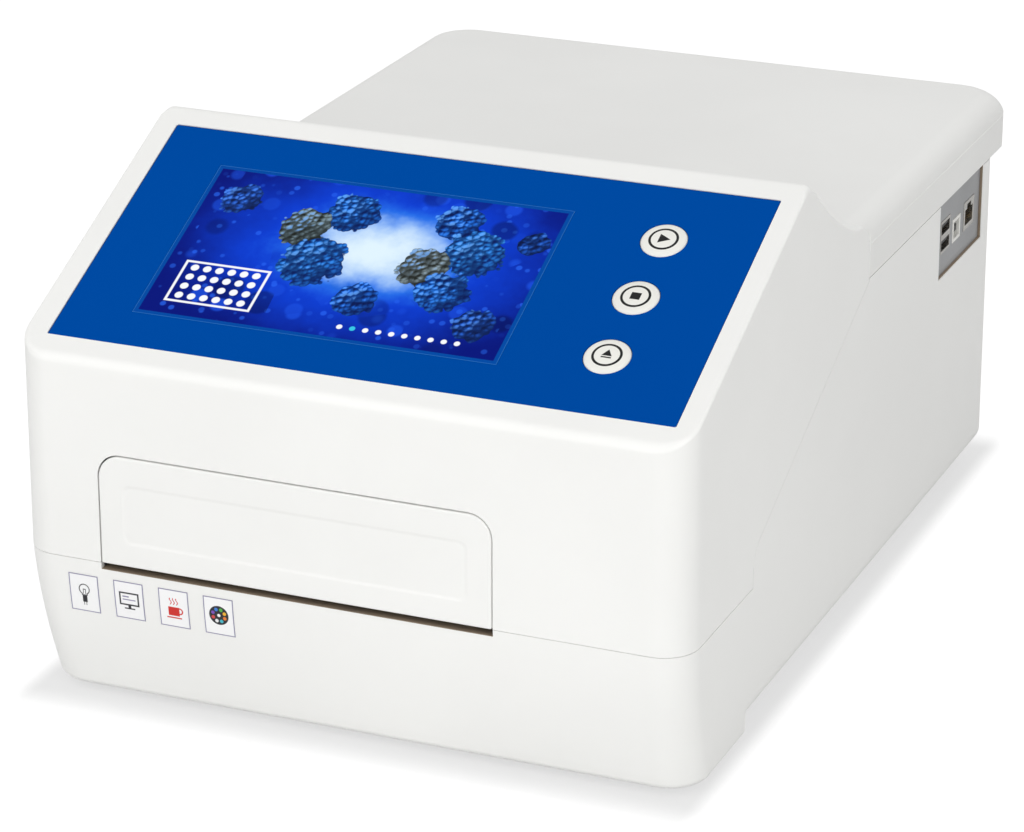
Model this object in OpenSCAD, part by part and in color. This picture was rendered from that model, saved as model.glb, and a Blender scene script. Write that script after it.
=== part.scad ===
// Bench-top microplate reader with a display head, a motor-driven plate carrier and a swing-up plate door.
// X runs left to right, Y front to back, Z up. The origin is on the bench, under the middle of the casing.

/* [Casing] */
// Width of the casing at bench level
body_width = 289; // [270:1:310]
// Depth from the front face to the back of the lid
body_depth = 433; // [425:1:445]
// Lean of the side walls, in degrees
draft = 0.25; // [0:0.05:1]
// Wall thickness of the shells
wall = 3; // [2.5:0.1:3.5]
// Corner radius of the casing seen from above, front corners
front_corner_r = 15; // [10:1:20]
// Corner radius of the casing seen from above, rear corners
rear_corner_r = 12; // [8:1:16]
// Height of the parting line between the front cover and the base
parting_z = 65; // [64.5:0.1:65.5]
// Height of the seam between the base and the lid
seam_z = 149.2; // [148.5:0.1:150]
// Height of the lid's top face
lid_top = 175.6; // [174:0.1:177]
// Radius of the lid's rounded edge
lid_edge_r = 10; // [6:0.5:11]
// Overhang of the lid behind the rear wall
lid_overhang = 21; // [15:1:25]
// Place of the joint between the front cover and the lid, along Y
joint_y = 3.4; // [2:0.1:5]

/* [Chin] */
// Radius of the curve by which the chin draws back
chin_r = 212; // [180:1:260]
// Gap between the bench and the chin
chin_clear = 2.7; // [2:0.1:4]
// Gap between the bench and the rear part of the floor
rear_clear = 9; // [7:0.5:11]
// Place of the step between the two, along Y
step_y = -146.6; // [-150:0.1:-140]
// Radius of the bottom edges
bottom_r = 7; // [4:0.5:8]

/* [Display head] */
// Tilt of the display panel, in degrees
panel_tilt = 24.7; // [24:0.1:25.5]
// Height of the blue overlay's lower edge
overlay_z = 156; // [155:0.1:157]
// Distance of the overlay's lower edge behind the front face
overlay_setback = 11.2; // [10:0.1:12]
// Width of the overlay
overlay_w = 267.3; // [260:0.1:268]
// Length of the overlay up the slope
overlay_l = 128.6; // [125:0.1:130]
// Frame of the panel above the overlay, up the slope
frame_top = 12; // [8:0.5:14]
// Height of the frame over the overlay
frame_proud = 0.3; // [0:0.1:0.5]
// Slope at the start of the swoop behind the panel, in degrees
swoop_angle = 43; // [38:0.5:46]
// Radius of the swoop
swoop_r = 195; // [180:5:230]
// Left edge of the visible display
screen_x = -101.8; // [-104:0.1:-100]
// Lower edge of the visible display, up the slope
screen_v = 20.4; // [18:0.1:22]
// Width of the visible display
screen_w = 154.1; // [150:0.1:156]
// Height of the visible display
screen_h = 85.9; // [84:0.1:88]

/* [Keys] */
// Place of the keys across the panel
key_x = 95.6; // [90:0.1:100]
// Place of the lowest key up the slope
key_v = 31.3; // [30:0.1:33]
// Spacing of the keys up the slope
key_pitch = 33.4; // [32:0.1:34]
// Radius of a key cap
key_r = 9.8; // [9:0.1:10.5]

/* [Plate door] */
// Left side of the door opening
door_x0 = -107.4; // [-108:0.1:-105]
// Width of the door opening
door_w = 172; // [168:0.1:174]
// Top of the door opening
door_top = 113; // [110:0.1:114]
// Corner radius of the door opening
door_corner_r = 10.5; // [9:0.1:11]
// Gap round the door
door_gap = 0.8; // [0.7:0.05:1]
// Floor of the slot under the door
slot_z = 62; // [61.5:0.1:62.3]
// Thickness of the door
door_t = 3; // [2.8:0.1:3]
// Radius of the door's hinge pin
hinge_pin_r = 1.5; // [1.2:0.1:1.8]

/* [Plate carrier] */
// Height of the tray's underside
tray_z = 63; // [62.8:0.1:63.5]
// Thickness of the tray
tray_t = 11; // [10:0.5:11]
// Width of the tray
tray_w = 153; // [150:1:155]
// Distance of the tray behind the front face with the tray in
tray_setback = 50; // [49:0.5:52]
// Width of the nest for the plate
nest_w = 128.4; // [128:0.1:129]
// Length of the nest for the plate
nest_l = 86; // [85.7:0.1:87]
// Rim in front of the nest
tray_rim = 20; // [18:1:22]
// Radius of the guide rods
rod_r = 4; // [3:0.5:4]
// Height of the guide rods
rod_z = 50; // [49:0.5:51]
// Radial play of every running fit
fit_play = 0.05; // [0.02:0.01:0.1]

/* [Drive and optics] */
// Pitch radius of the belt pulleys
pulley_r = 7; // [6:0.5:7]
// Height of the pulleys
pulley_z = 43; // [42:0.5:44]
// Radius of the filter wheel
filter_wheel_r = 46; // [42:1:47]
// Number of places in the filter wheel
filter_count = 8; // [4:1:9]
// Number of reading channels
channel_count = 12; // [8:4:12]
// Spacing of the reading channels
channel_pitch = 9; // [9:1:9]

/* [Ports] */
// Front edge of the port window in the right wall
port_y0 = 107; // [105:0.5:109]
// Length of the port window
port_len = 67; // [65:0.5:68]
// Lower edge of the port window
port_z0 = 114.3; // [113:0.1:116]

/* [Hidden] */
$fn = 64;
front_y = -body_depth / 2;
rear_y = body_depth / 2;
rear_wall_y = rear_y - lid_overhang;
foot_half = body_width / 2;
seam_half = foot_half - seam_z * tan(draft);
overlay_y = front_y + overlay_setback;
front_arc_r = 8;
top_arc_r = 4;
panel_end = overlay_l + frame_top;
seam_gap = 0.4;
recess_d = frame_proud + 0.6;
arc_step = 6;

chassis_z = 20;
chassis_t = 2;
deck_z = chassis_z + chassis_t;
chassis_half = 122;
chassis_y0 = -203.5;
chassis_y1 = 188;
boss_places = [[-112, -170], [112, -170], [-112, 0], [112, 0], [-90, 176], [112, 176]];

door_mid = door_x0 + door_w / 2;
door_edge = door_gap + 0.1;
hinge_y = front_y + door_t + 0.6;
hinge_z = door_top - door_edge - door_corner_r + door_gap;
knuckle_r = 3.2;
jamb_depth = 6;

tray_y0 = front_y + tray_setback;
tray_y1 = -4;
tray_x0 = door_mid - tray_w / 2;
nest_y0 = tray_y0 + tray_rim;
nest_z = tray_z + 3;
tray_top = tray_z + tray_t;
rod_xs = [door_mid - 66, door_mid + 66];
rod_y0 = -200;
rod_y1 = 8;
bush_r = 7;
bush_y0 = -30;
holder_len = 10;

belt_x = 78;
belt_w = 6;
belt_t = 1.5;
drive_y = 31;
idler_y = -196;
flange_r = 8.9;

bridge_y = -150;
bridge_z = 94;
bridge_t = 14;
wheel_x = 10;
wheel_y = 60;
wheel_z = 72;
filter_ring_r = 34;
filter_r = 9;
beam_x = wheel_x - filter_ring_r;
fibre_r = 3;
fibre_top = 118;

fan_x = 45;
fan_z = 75;
fan_size = 60;
fan_depth = 25;
inlet_x = -85;
inlet_z = 43;

port_wall_x = seam_half - wall;
port_plate_x = seam_half - 1.5;
board_top = 124;

pillars_front = [[-128, -192], [128, -192]];
pillars_mid = [[-128, -14], [128, -14]];
pillars_rear = [[-124, 184], [124, 184]];
pillar_r = 6;
screw_r = 1.5;
screw_head_r = 2.9;

// ---------- general shapes ----------

// Extrudes an outline drawn in Y and Z along X, from x0 to x1
module along_x(x0, x1)
    translate([x0, 0, 0]) rotate([90, 0, 90]) linear_extrude(x1 - x0) children();

// Extrudes an outline drawn in X and Z along Y, from y0 to y1
module along_y(y0, y1)
    translate([0, y1, 0]) rotate([90, 0, 0]) linear_extrude(y1 - y0) children();

// A round rod along X
module rod_x(x0, x1, y, z, r)
    translate([x0, y, z]) rotate([0, 90, 0]) cylinder(r = r, h = x1 - x0);

// A round rod along Y
module rod_y(y0, y1, x, z, r)
    translate([x, y1, z]) rotate([90, 0, 0]) cylinder(r = r, h = y1 - y0);

// A round rod along Z
module rod_z(z0, z1, x, y, r)
    translate([x, y, z0]) cylinder(r = r, h = z1 - z0);

// A box between two corners
module block(x0, x1, y0, y1, z0, z1)
    translate([x0, y0, z0]) cube([x1 - x0, y1 - y0, z1 - z0]);

// A rectangle with round corners, its lower left corner at the origin
module round_rect(w, h, r) {
    translate([r, 0]) square([w - 2 * r, h]);
    translate([0, r]) square([w, h - 2 * r]);
    for (x = [r, w - r], y = [r, h - r]) translate([x, y]) circle(r);
}

// What a quarter round leaves of a square, to be cut off an outer corner
module corner_waste(r)
    difference() {
        square([r + 1, r + 1]);
        circle(r);
    }

// Points of an arc from angle a0 to angle a1, closer together where the radius is large
function arc(cy, cz, r, a0, a1) =
    let (n = max(2, ceil(abs(a1 - a0) / (r > 100 ? 1.5 : arc_step))))
    [for (i = [0:n]) let (a = a0 + (a1 - a0) * i / n) [cy + r * cos(a), cz + r * sin(a)]];

// ---------- casing outlines ----------

// Plan of the casing, d inside its outer face, with only its right-hand corners rounded
module plan_half(d, back) {
    half = foot_half - d;
    y0 = front_y + d;
    y1 = back - d;
    rf = front_corner_r - d;
    rr = rear_corner_r - d;
    difference() {
        translate([-half - 20, y0]) square([2 * half + 20, y1 - y0]);
        translate([half - rf, y0 + rf]) mirror([0, 1]) corner_waste(rf);
        translate([half - rr, y1 - rr]) corner_waste(rr);
    }
}

// One leaning half of the casing's block
module leaning_half(d, back)
    translate([foot_half, 0, 0]) rotate([0, -draft, 0]) translate([-foot_half, 0, -30])
        linear_extrude(300) plan_half(d, back);

// The casing's block between its leaning side walls, d inside its outer face
module casing_block(d, back)
    intersection() {
        leaning_half(d, back);
        mirror([1, 0, 0]) leaning_half(d, back);
    }

// Place on the panel: up the slope by v and out along its normal by n
function panel_y(v, n) = overlay_y + v * cos(panel_tilt) - n * sin(panel_tilt);
function panel_z(v, n) = overlay_z + v * sin(panel_tilt) + n * cos(panel_tilt);

// Puts children on the panel: X across, Y up the slope, Z out of it, at the overlay's lower edge
module on_panel()
    translate([0, overlay_y, overlay_z]) rotate([panel_tilt, 0, 0]) children();

// Centre of the swoop, and the slope at which it meets the level of the lid
swoop_y = panel_y(panel_end, frame_proud) + swoop_r * sin(swoop_angle);
swoop_z = panel_z(panel_end, frame_proud) + swoop_r * cos(swoop_angle);
swoop_end = acos((swoop_z - lid_top) / swoop_r);
side_edge_r = 1.5;

// Side outline of the front cover, d inside its outer face
function cover_outline(d) =
    let (
        r1 = front_arc_r - d,
        r2 = max(top_arc_r - d, 0.8),
        n = frame_proud - d,
        c1y = front_y + front_arc_r,
        c1v = (c1y - panel_y(0, frame_proud - front_arc_r)) / cos(panel_tilt),
        c1z = panel_z(c1v, frame_proud - front_arc_r),
        apex_v = panel_end - d * tan((panel_tilt + swoop_angle) / 2),
        ay = panel_y(apex_v, n),
        az = panel_z(apex_v, n),
        cut = r2 * tan((panel_tilt + swoop_angle) / 2),
        c2y = panel_y(apex_v - cut, n - r2),
        c2z = panel_z(apex_v - cut, n - r2),
        r3 = swoop_r + d,
        a_end = acos((swoop_z - lid_top + d) / r3)
    )
    concat(
        [[front_y + d, parting_z - 20]],
        arc(c1y, c1z, r1, 180, 90 + panel_tilt),
        arc(c2y, c2z, r2, 90 + panel_tilt, 90 - swoop_angle),
        arc(swoop_y, swoop_z, r3, 270 - swoop_angle + 1, 270 - a_end),
        [[joint_y + 20, lid_top - d], [joint_y + 20, parting_z - 20]]
    );

// Outline of all that belongs to the front cover, with the slanting joint to the base, moved by g
slant_y = -139.5;
slant_z = 80.2;
slant_angle = 25.35;
slant_r = 12;
function cover_reach(g) =
    let (
        ky = slant_y - g,
        cy = slant_y + slant_r,
        cz = slant_z + slant_r * tan(slant_angle) - slant_r / cos(slant_angle),
        end_z = slant_z + (joint_y - slant_y) * tan(slant_angle) + g / cos(slant_angle)
            - g * tan(slant_angle)
    )
    concat(
        [[front_y - 5, parting_z + g], [ky, parting_z + g]],
        arc(cy, cz, slant_r + g, 180, 90 + slant_angle),
        [[joint_y - g, end_z], [joint_y - g, 260], [front_y - 5, 260]]
    );

// Distance by which the chin draws back at height z
function chin_back(z) = chin_r - sqrt(pow(chin_r, 2) - pow(parting_z + 8 - z, 2));

// Side outline of the base, d inside its outer face, below the joint to the cover and the lid
function base_outline(d) =
    let (
        low = chin_clear + d,
        high = rear_clear + d,
        r = bottom_r - d,
        cy = front_y + chin_back(chin_clear + bottom_r) + bottom_r,
        cz = chin_clear + bottom_r
    )
    concat(
        [[front_y + d, 200], [front_y + d, parting_z + 8]],
        [for (i = [1:6]) let (z = parting_z + 8 - i * (parting_z + 8 - cz) / 6)
            [front_y + chin_back(z) + d, z]],
        arc(cy, cz, r, 190, 270),
        [[step_y - 1 - d, low], [step_y - d, low + 1], [step_y - d, high]],
        arc(rear_wall_y - bottom_r, rear_clear + bottom_r, r, 270, 360),
        [[rear_wall_y - d, 200]]
    );

// Cuts the long bottom edge of one side, from y0 to y1, with the floor at height low
module side_edge_waste(y0, y1, low)
    translate([foot_half, 0, 0]) rotate([0, -draft, 0]) translate([-foot_half, 0, 0])
        along_y(y0, y1)
            translate([foot_half - bottom_r, low + bottom_r]) mirror([0, 1]) corner_waste(bottom_r);

// ---------- casing ----------

module base_shell() {
    difference() {
        intersection() {
            casing_block(0, rear_wall_y);
            along_x(-160, 160) polygon(base_outline(0));
            base_limit();
        }
        intersection() {
            casing_block(wall, rear_wall_y);
            along_x(-160, 160) polygon(base_outline(wall));
        }
        for (side = [0, 1]) mirror([side, 0, 0]) {
            side_edge_waste(front_y - 1, step_y, chin_clear);
            side_edge_waste(step_y - 0.01, rear_wall_y + 1, rear_clear);
        }
    }
}

// All that lies below the joints to the cover and the lid
module base_limit()
    difference() {
        block(-160, 160, front_y - 5, rear_wall_y + 5, -5, seam_z - seam_gap);
        along_x(-170, 170) polygon(cover_reach(0));
    }

// Height of the casing's underside at a place along Y
function floor_z(y) = y < step_y ? chin_clear : rear_clear;

module base_case() color("whitesmoke") {
    difference() {
        union() {
            base_shell();
            // the rear wall's lip carries the lid
            block(-120, 120, rear_wall_y - wall, rear_wall_y, seam_z - 6, lid_top - wall);
            for (p = boss_places) rod_z(floor_z(p[1]) + 1, chassis_z, p[0], p[1], 5);
            for (p = pillars_front) rod_z(chin_clear + 1, parting_z - 1, p[0], p[1], pillar_r);
            for (p = pillars_mid) rod_z(rear_clear + 1, 130, p[0], p[1], pillar_r);
            for (p = pillars_rear) rod_z(rear_clear + 1, seam_z - 6, p[0], p[1], pillar_r);
        }
        // slot under the plate door
        block(door_x0 + 0.3, door_x0 + door_w - 0.3, front_y - 2, front_y + wall + 4, slot_z, parting_z + 5);
        // port window, with a pocket for its plate inside the wall
        block(port_wall_x - 1, port_plate_x + 0.2, port_y0 - 3.5, port_y0 + port_len + 3.5,
            port_z0 - 3.5, seam_z + 5);
        block(port_wall_x - 6, foot_half + 5, port_y0, port_y0 + port_len, port_z0, seam_z + 5);
        // fan opening and its screw holes
        rod_y(rear_wall_y - wall - 1, rear_wall_y + 1, fan_x, fan_z, fan_size / 2 - 3);
        for (sx = [-25, 25], sz = [-25, 25])
            rod_y(rear_wall_y - wall - 1, rear_wall_y + 1, fan_x + sx, fan_z + sz, 2);
        // power inlet
        block(inlet_x - 24, inlet_x + 24, rear_wall_y - wall - 1, rear_wall_y + 1, inlet_z - 14, inlet_z + 14);
        // screw ways through the pillars
        for (p = pillars_front) screw_way(p, chin_clear, parting_z - 1);
        for (p = pillars_mid) screw_way(p, rear_clear, 130);
        for (p = pillars_rear) screw_way(p, rear_clear, seam_z - 6);
        for (p = boss_places) rod_z(chassis_z - 6, chassis_z + 1, p[0], p[1], screw_r);
    }
}

// A deep counterbore from below and a clear hole at the pillar's top
module screw_way(p, low, top) {
    rod_z(low - 1, top - 5, p[0], p[1], screw_head_r + 0.9);
    rod_z(top - 6, top + 1, p[0], p[1], screw_r + 0.2);
}

module front_cover() color("white") {
    difference() {
        union() {
            difference() {
                intersection() {
                    casing_block(0, rear_wall_y);
                    along_x(-160, 160) polygon(cover_outline(0));
                    along_x(-165, 165) polygon(cover_reach(seam_gap));
                }
                intersection() {
                    casing_block(wall, rear_wall_y);
                    along_x(-160, 160) polygon(cover_outline(wall));
                }
                // rounded sides of the panel and rounded shoulders next to the lid
                for (side = [0, 1]) mirror([side, 0, 0]) {
                    translate([foot_half, 0, 0]) rotate([0, -draft, 0]) translate([-foot_half, 0, 0]) {
                        on_panel() translate([0, panel_end + 4, 0]) along_y(-panel_end - 24, 0)
                            translate([foot_half - side_edge_r, frame_proud - side_edge_r])
                                corner_waste(side_edge_r);
                        along_y(swoop_y - swoop_r * sin(swoop_end) - 0.3, joint_y + 1)
                            translate([foot_half - lid_edge_r, lid_top - lid_edge_r])
                                corner_waste(lid_edge_r);
                    }
                }
            }
            intersection() {
                union() {
                    for (p = pillars_front) rod_z(parting_z - 1, 190, p[0], p[1], pillar_r - 1);
                    for (p = pillars_mid) rod_z(130, 190, p[0], p[1], pillar_r - 1);
                }
                along_x(-160, 160) polygon(concat(
                    [[front_y + 5, 40]], cover_outline(1.2), [[joint_y + 20, 40]]));
            }
            // jambs that hold the hinge pin
            for (side = [-1, 1]) {
                edge = door_mid + side * door_w / 2;
                block(min(edge, edge + side * jamb_depth), max(edge, edge + side * jamb_depth),
                    front_y + wall - 0.5, front_y + wall + 4, hinge_z - 5, hinge_z + 5);
            }
            // posts for the display bracket and the key board
            on_panel() {
                for (x = bracket_xs, v = bracket_vs) rod_z(-9, 0, x, v, 3);
                for (x = [key_x - 13, key_x + 13], v = [key_v - 11, key_v + 2 * key_pitch + 11])
                    rod_z(-12, 0, x, v, 2.5);
            }
        }
        on_panel() {
            // seat of the overlay
            block(-overlay_w / 2 - 0.35, overlay_w / 2 + 0.35, -0.35, overlay_l + 0.35,
                frame_proud - recess_d, 30);
            // window of the display
            block(screen_x - 2.5, screen_x + screen_w + 2.5, screen_v - 2.5, screen_v + screen_h + 2.5, -8, 5);
            for (i = [0:2]) rod_z(-20, 5, key_x, key_v + i * key_pitch, key_r + 0.6);
        }
        // door opening
        along_y(front_y - 1, front_y + wall + 0.6) {
            translate([door_x0, parting_z - 10])
                round_rect(door_w, door_top - parting_z + 10, door_corner_r);
        }
        rod_x(door_x0 - jamb_depth + 1, door_x0 + door_w + jamb_depth - 1, hinge_y, hinge_z, hinge_pin_r);
        for (p = pillars_front) rod_z(parting_z - 2, parting_z + 14, p[0], p[1], screw_r);
        for (p = pillars_mid) rod_z(129, 145, p[0], p[1], screw_r);
    }
}

// Lid with a rounded edge round three sides, open towards the front cover
module lid_block(d) {
    half = seam_half - d;
    y0 = d > 0 ? joint_y - 5 : joint_y;
    y1 = rear_y - d;
    corner = 14 - d;
    edge = lid_edge_r - d;
    top = lid_top - d;
    inner = corner - edge;
    // walls
    difference() {
        block(-half, half, y0, y1, seam_z - (d > 0 ? 5 : 0), top - edge);
        for (side = [0, 1]) mirror([side, 0, 0])
            translate([half - corner, y1 - corner, seam_z - 6]) linear_extrude(60) corner_waste(corner);
    }
    // flat top
    block(-half + edge, half - edge, y0, y1 - corner, top - edge - 0.01, top);
    block(-half + corner, half - corner, y1 - corner - 0.01, y1 - edge, top - edge - 0.01, top);
    // rounded edges
    for (side = [-1, 1]) rod_y(y0, y1 - corner, side * (half - edge), top - edge, edge);
    rod_x(-half + corner, half - corner, y1 - edge, top - edge, edge);
    for (side = [-1, 1]) translate([side * (half - corner), y1 - corner, top - edge]) {
        rotate_extrude() intersection() {
            translate([inner, 0]) circle(edge);
            square([corner + 1, edge + 1]);
        }
        translate([0, 0, -0.01]) cylinder(r = inner, h = edge + 0.01);
    }
}

module top_cover() color("gainsboro") {
    difference() {
        union() {
            difference() {
                lid_block(0);
                lid_block(wall);
            }
            for (p = pillars_rear) rod_z(seam_z - 6, lid_top - 1.5, p[0], p[1], pillar_r - 1);
        }
        for (p = pillars_rear) rod_z(seam_z - 7, seam_z + 8, p[0], p[1], screw_r);
    }
}

module front_feet() color("dimgray")
    for (x = [-112, 112]) rod_z(0, chin_clear, x, front_y + 42, 9);

module rear_feet() color("dimgray")
    for (x = [-112, 112]) rod_z(0, rear_clear, x, rear_wall_y - 32, 9);

module screw(p, head_z, length) {
    rod_z(head_z - 2.4, head_z, p[0], p[1], screw_head_r);
    rod_z(head_z, head_z + length, p[0], p[1], screw_r);
}

module case_screws() color("silver") {
    for (p = pillars_front) screw(p, parting_z - 6, 14);
    for (p = pillars_mid) screw(p, 125, 14);
    for (p = pillars_rear) screw(p, seam_z - 11, 14);
}

// ---------- chassis ----------

module chassis_plate() color("darkkhaki") {
    difference() {
        union() {
            block(-chassis_half, chassis_half, chassis_y0 + 12, chassis_y1 - 14, chassis_z, deck_z);
            block(-112, 100, chassis_y0, chassis_y1, chassis_z, deck_z);
            // upturned flange behind the slot
            block(door_x0 + 5, door_x0 + door_w - 5, chassis_y0, chassis_y0 + 1.5, chassis_z, slot_z - 1.7);
        }
        for (p = boss_places) rod_z(chassis_z - 1, deck_z + 1, p[0], p[1], screw_r + 0.2);
    }
}

module chassis_screws() color("silver")
    for (p = boss_places) {
        rod_z(deck_z, deck_z + 2, p[0], p[1], screw_head_r);
        rod_z(deck_z - 7, deck_z, p[0], p[1], screw_r);
    }

// ---------- display panel ----------

bracket_xs = [screen_x - 9.5, screen_x + screen_w + 9.5];
bracket_vs = [screen_v - 9.5, screen_v + screen_h + 9.5];

module control_overlay() color("#0058a8")
    on_panel() difference() {
        block(-overlay_w / 2, overlay_w / 2, 0, overlay_l, -0.6, 0);
        block(screen_x - 2, screen_x + screen_w + 2, screen_v - 2, screen_v + screen_h + 2, -1, 1);
        for (i = [0:2]) rod_z(-1, 1, key_x, key_v + i * key_pitch, key_r + 0.4);
    }

module screen_window() color("lightsteelblue", 0.4)
    on_panel() block(screen_x - 2.3, screen_x + screen_w + 2.3, screen_v - 2.3, screen_v + screen_h + 2.3,
        -1.9, -0.6);

module lcd_module() color("midnightblue")
    on_panel() {
        block(screen_x - 2, screen_x + screen_w + 2, screen_v - 2, screen_v + screen_h + 2, -4, -2.2);
        block(screen_x - 5, screen_x + screen_w + 5, screen_v - 5, screen_v + screen_h + 5, -9, -4);
    }

module lcd_bracket() color("silver")
    on_panel() difference() {
        block(bracket_xs[0] - 4, bracket_xs[1] + 4, bracket_vs[0] - 4, bracket_vs[1] + 4, -10.5, -9);
        block(screen_x + 12, screen_x + screen_w - 12, screen_v + 12, screen_v + screen_h - 12, -11, -8);
    }

module button_board() color("seagreen")
    on_panel() block(key_x - 17, key_x + 17, key_v - 15, key_v + 2 * key_pitch + 15, -13.6, -12);

module key_switches() color("black")
    on_panel() for (i = [0:2]) translate([key_x, key_v + i * key_pitch, 0]) {
        block(-3, 3, -3, 3, -12, -8.9);
        rod_z(-9, -8.2, 0, 0, 1.7);
    }

// Cap with a shallow dome, a flange that keeps it in, and a stem over its switch
module key_cap(i)
    color("ivory") on_panel() translate([key_x, key_v + i * key_pitch, 0]) {
        rod_z(-3.2, 0.3, 0, 0, key_r);
        translate([0, 0, 0.3]) cylinder(r1 = key_r, r2 = key_r - 1.2, h = 0.5);
        rod_z(-4.4, -3.2, 0, 0, key_r + 1.8);
        rod_z(-7, -4.4, 0, 0, 2);
    }

module eject_button() key_cap(0);
module stop_button() key_cap(1);
module start_button() key_cap(2);

// ---------- plate door ----------

module plate_door() color("white") {
    low = parting_z;
    top = door_top - door_edge;
    x0 = door_x0 + door_gap;
    w = door_w - 2 * door_gap;
    difference() {
        union() {
            intersection() {
                along_y(front_y, front_y + door_t)
                    translate([x0, low - 20]) round_rect(w, top - low + 20, door_corner_r - door_gap);
                along_x(x0 - 1, x0 + w + 1) polygon(concat(
                    [[front_y, low], [front_y, top - 0.8]],
                    arc(front_y + 0.8, top - 0.8, 0.8, 180, 90),
                    [[front_y + door_t, top], [front_y + door_t, low]]));
            }
            rod_x(x0 + door_corner_r, x0 + w - door_corner_r, hinge_y, hinge_z, knuckle_r);
        }
        rod_x(x0 - 1, x0 + w + 1, hinge_y, hinge_z, hinge_pin_r + fit_play);
        // shallow recessed panel of the front face
        translate([0, front_y + 0.7, 0]) along_y(-5, 0)
            translate([x0 + 10, low + 9.5]) round_rect(150.3, 26, 3);
    }
}

module door_pin() color("silver")
    rod_x(door_x0 - jamb_depth + 1.5, door_x0 + door_w + jamb_depth - 1.5, hinge_y, hinge_z, hinge_pin_r);

// ---------- plate carrier ----------

module plate_carrier() color("dimgray") {
    difference() {
        union() {
            linear_extrude_tray();
            for (x = rod_xs) block(x - 10, x + 10, bush_y0, tray_y1, rod_z - 10, tray_z + 1);
            // arm to the belt
            block(rod_xs[1] + 9, belt_x - 6, -26, -16, 52.5, 58.5);
        }
        // nest for the plate, with its light window
        block(door_mid - nest_w / 2, door_mid + nest_w / 2, nest_y0, nest_y0 + nest_l, nest_z, tray_top + 1);
        block(door_mid - 57, door_mid + 57, nest_y0 + 6, nest_y0 + nest_l - 6, tray_z - 1, tray_top);
        // finger gaps at the nest's sides
        for (side = [-1, 1])
            rod_z(nest_z, tray_top + 1, door_mid + side * nest_w / 2, nest_y0 + nest_l / 2, 10);
        for (x = rod_xs) rod_y(bush_y0 - 1, tray_y1 + 1, x, rod_z, bush_r);
    }
}

module linear_extrude_tray()
    translate([tray_x0, tray_y0, tray_z]) linear_extrude(tray_t) round_rect(tray_w, tray_y1 - tray_y0, 6);

module carrier_bushes() color("goldenrod")
    for (x = rod_xs) difference() {
        rod_y(bush_y0, tray_y1, x, rod_z, bush_r);
        rod_y(bush_y0 - 1, tray_y1 + 1, x, rod_z, rod_r + fit_play);
    }

// Leaf that pushes the plate into the corner of its nest
module plate_spring() color("silver") {
    x = door_mid + nest_w / 2 + 6;
    block(x, x + 0.6, nest_y0 + nest_l / 2 - 6, nest_y0 + nest_l / 2 + 6, nest_z, tray_top - 1);
    block(x - 4, x, nest_y0 + nest_l / 2 + 5.4, nest_y0 + nest_l / 2 + 6, nest_z, tray_top - 1);
}

module belt_clamp() color("gray") {
    top = pulley_z + pulley_r + fit_play + belt_t;
    block(belt_x - 6, belt_x + 5, -26, -16, top + 0.4, top + 6.4);
    block(belt_x - 6, belt_x - 3.6, -26, -16, top - 6, top + 0.4);
    block(belt_x - 3.6, belt_x + 4, -26, -16, top - 6, top - belt_t - 0.5);
}

module guide_rods() color("silver")
    for (x = rod_xs) rod_y(rod_y0, rod_y1, x, rod_z, rod_r);

module rod_holders() color("darkgray")
    for (x = rod_xs, y = [rod_y0 - 1, rod_y1 - holder_len + 1]) difference() {
        block(x - 10, x + 10, y, y + holder_len, deck_z, rod_z + 9);
        rod_y(max(y - 1, rod_y0), min(y + holder_len + 1, rod_y1), x, rod_z, rod_r);
    }

// ---------- belt drive ----------

module drive_motor() color("black") {
    difference() {
        block(84, 124, drive_y - 21, drive_y + 21, deck_z, deck_z + 42);
        rod_x(83, 106, drive_y, pulley_z, 2.5 + fit_play);
    }
}

// Toothless pulley body with two flanges, its axis along X
module pulley_body(y) {
    rod_x(belt_x - belt_w / 2 - 0.5, belt_x + belt_w / 2 + 0.5, y, pulley_z, pulley_r);
    for (x = [belt_x - belt_w / 2 - 1.5, belt_x + belt_w / 2 + 0.5])
        rod_x(x, x + 1, y, pulley_z, flange_r);
}

module drive_pulley() color("silver") {
    pulley_body(drive_y);
    rod_x(belt_x - 8, 105, drive_y, pulley_z, 2.5);
}

module idler_pulley() color("silver")
    difference() {
        pulley_body(idler_y);
        rod_x(belt_x - 10, belt_x + 10, idler_y, pulley_z, 2 + fit_play);
    }

module idler_bracket() color("darkgray") {
    rod_x(belt_x - 6, 86, idler_y, pulley_z, 2);
    block(84, 88, idler_y - 6.5, idler_y + 6.5, deck_z, pulley_z + 7);
    block(76, 84.01, idler_y - 6.5, idler_y + 6.5, deck_z, deck_z + 2);
}

module belt_ring(r) {
    translate([idler_y, pulley_z]) circle(r);
    translate([drive_y, pulley_z]) circle(r);
    translate([idler_y, pulley_z - r]) square([drive_y - idler_y, 2 * r]);
}

module drive_belt() color("#202020")
    along_x(belt_x - belt_w / 2, belt_x + belt_w / 2) difference() {
        belt_ring(pulley_r + fit_play + belt_t);
        belt_ring(pulley_r + fit_play);
    }

// ---------- optics ----------

function channel_x(i) = door_mid + (i - (channel_count - 1) / 2) * channel_pitch;

module optics_bridge() color("#303030") {
    difference() {
        union() {
            block(-112, 102, bridge_y - 8, bridge_y + 8, bridge_z, bridge_z + bridge_t);
            block(-112, -102, bridge_y - 8, bridge_y + 8, deck_z, bridge_z + 1);
            block(92, 102, bridge_y - 8, bridge_y + 8, deck_z, bridge_z + 1);
        }
        for (i = [0:channel_count - 1])
            rod_z(bridge_z - 1, bridge_z + 8, channel_x(i), bridge_y, 3);
    }
}

module channel_lenses() color("lightcyan")
    for (i = [0:channel_count - 1]) rod_z(bridge_z + 1, bridge_z + 3.5, channel_x(i), bridge_y, 3);

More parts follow.
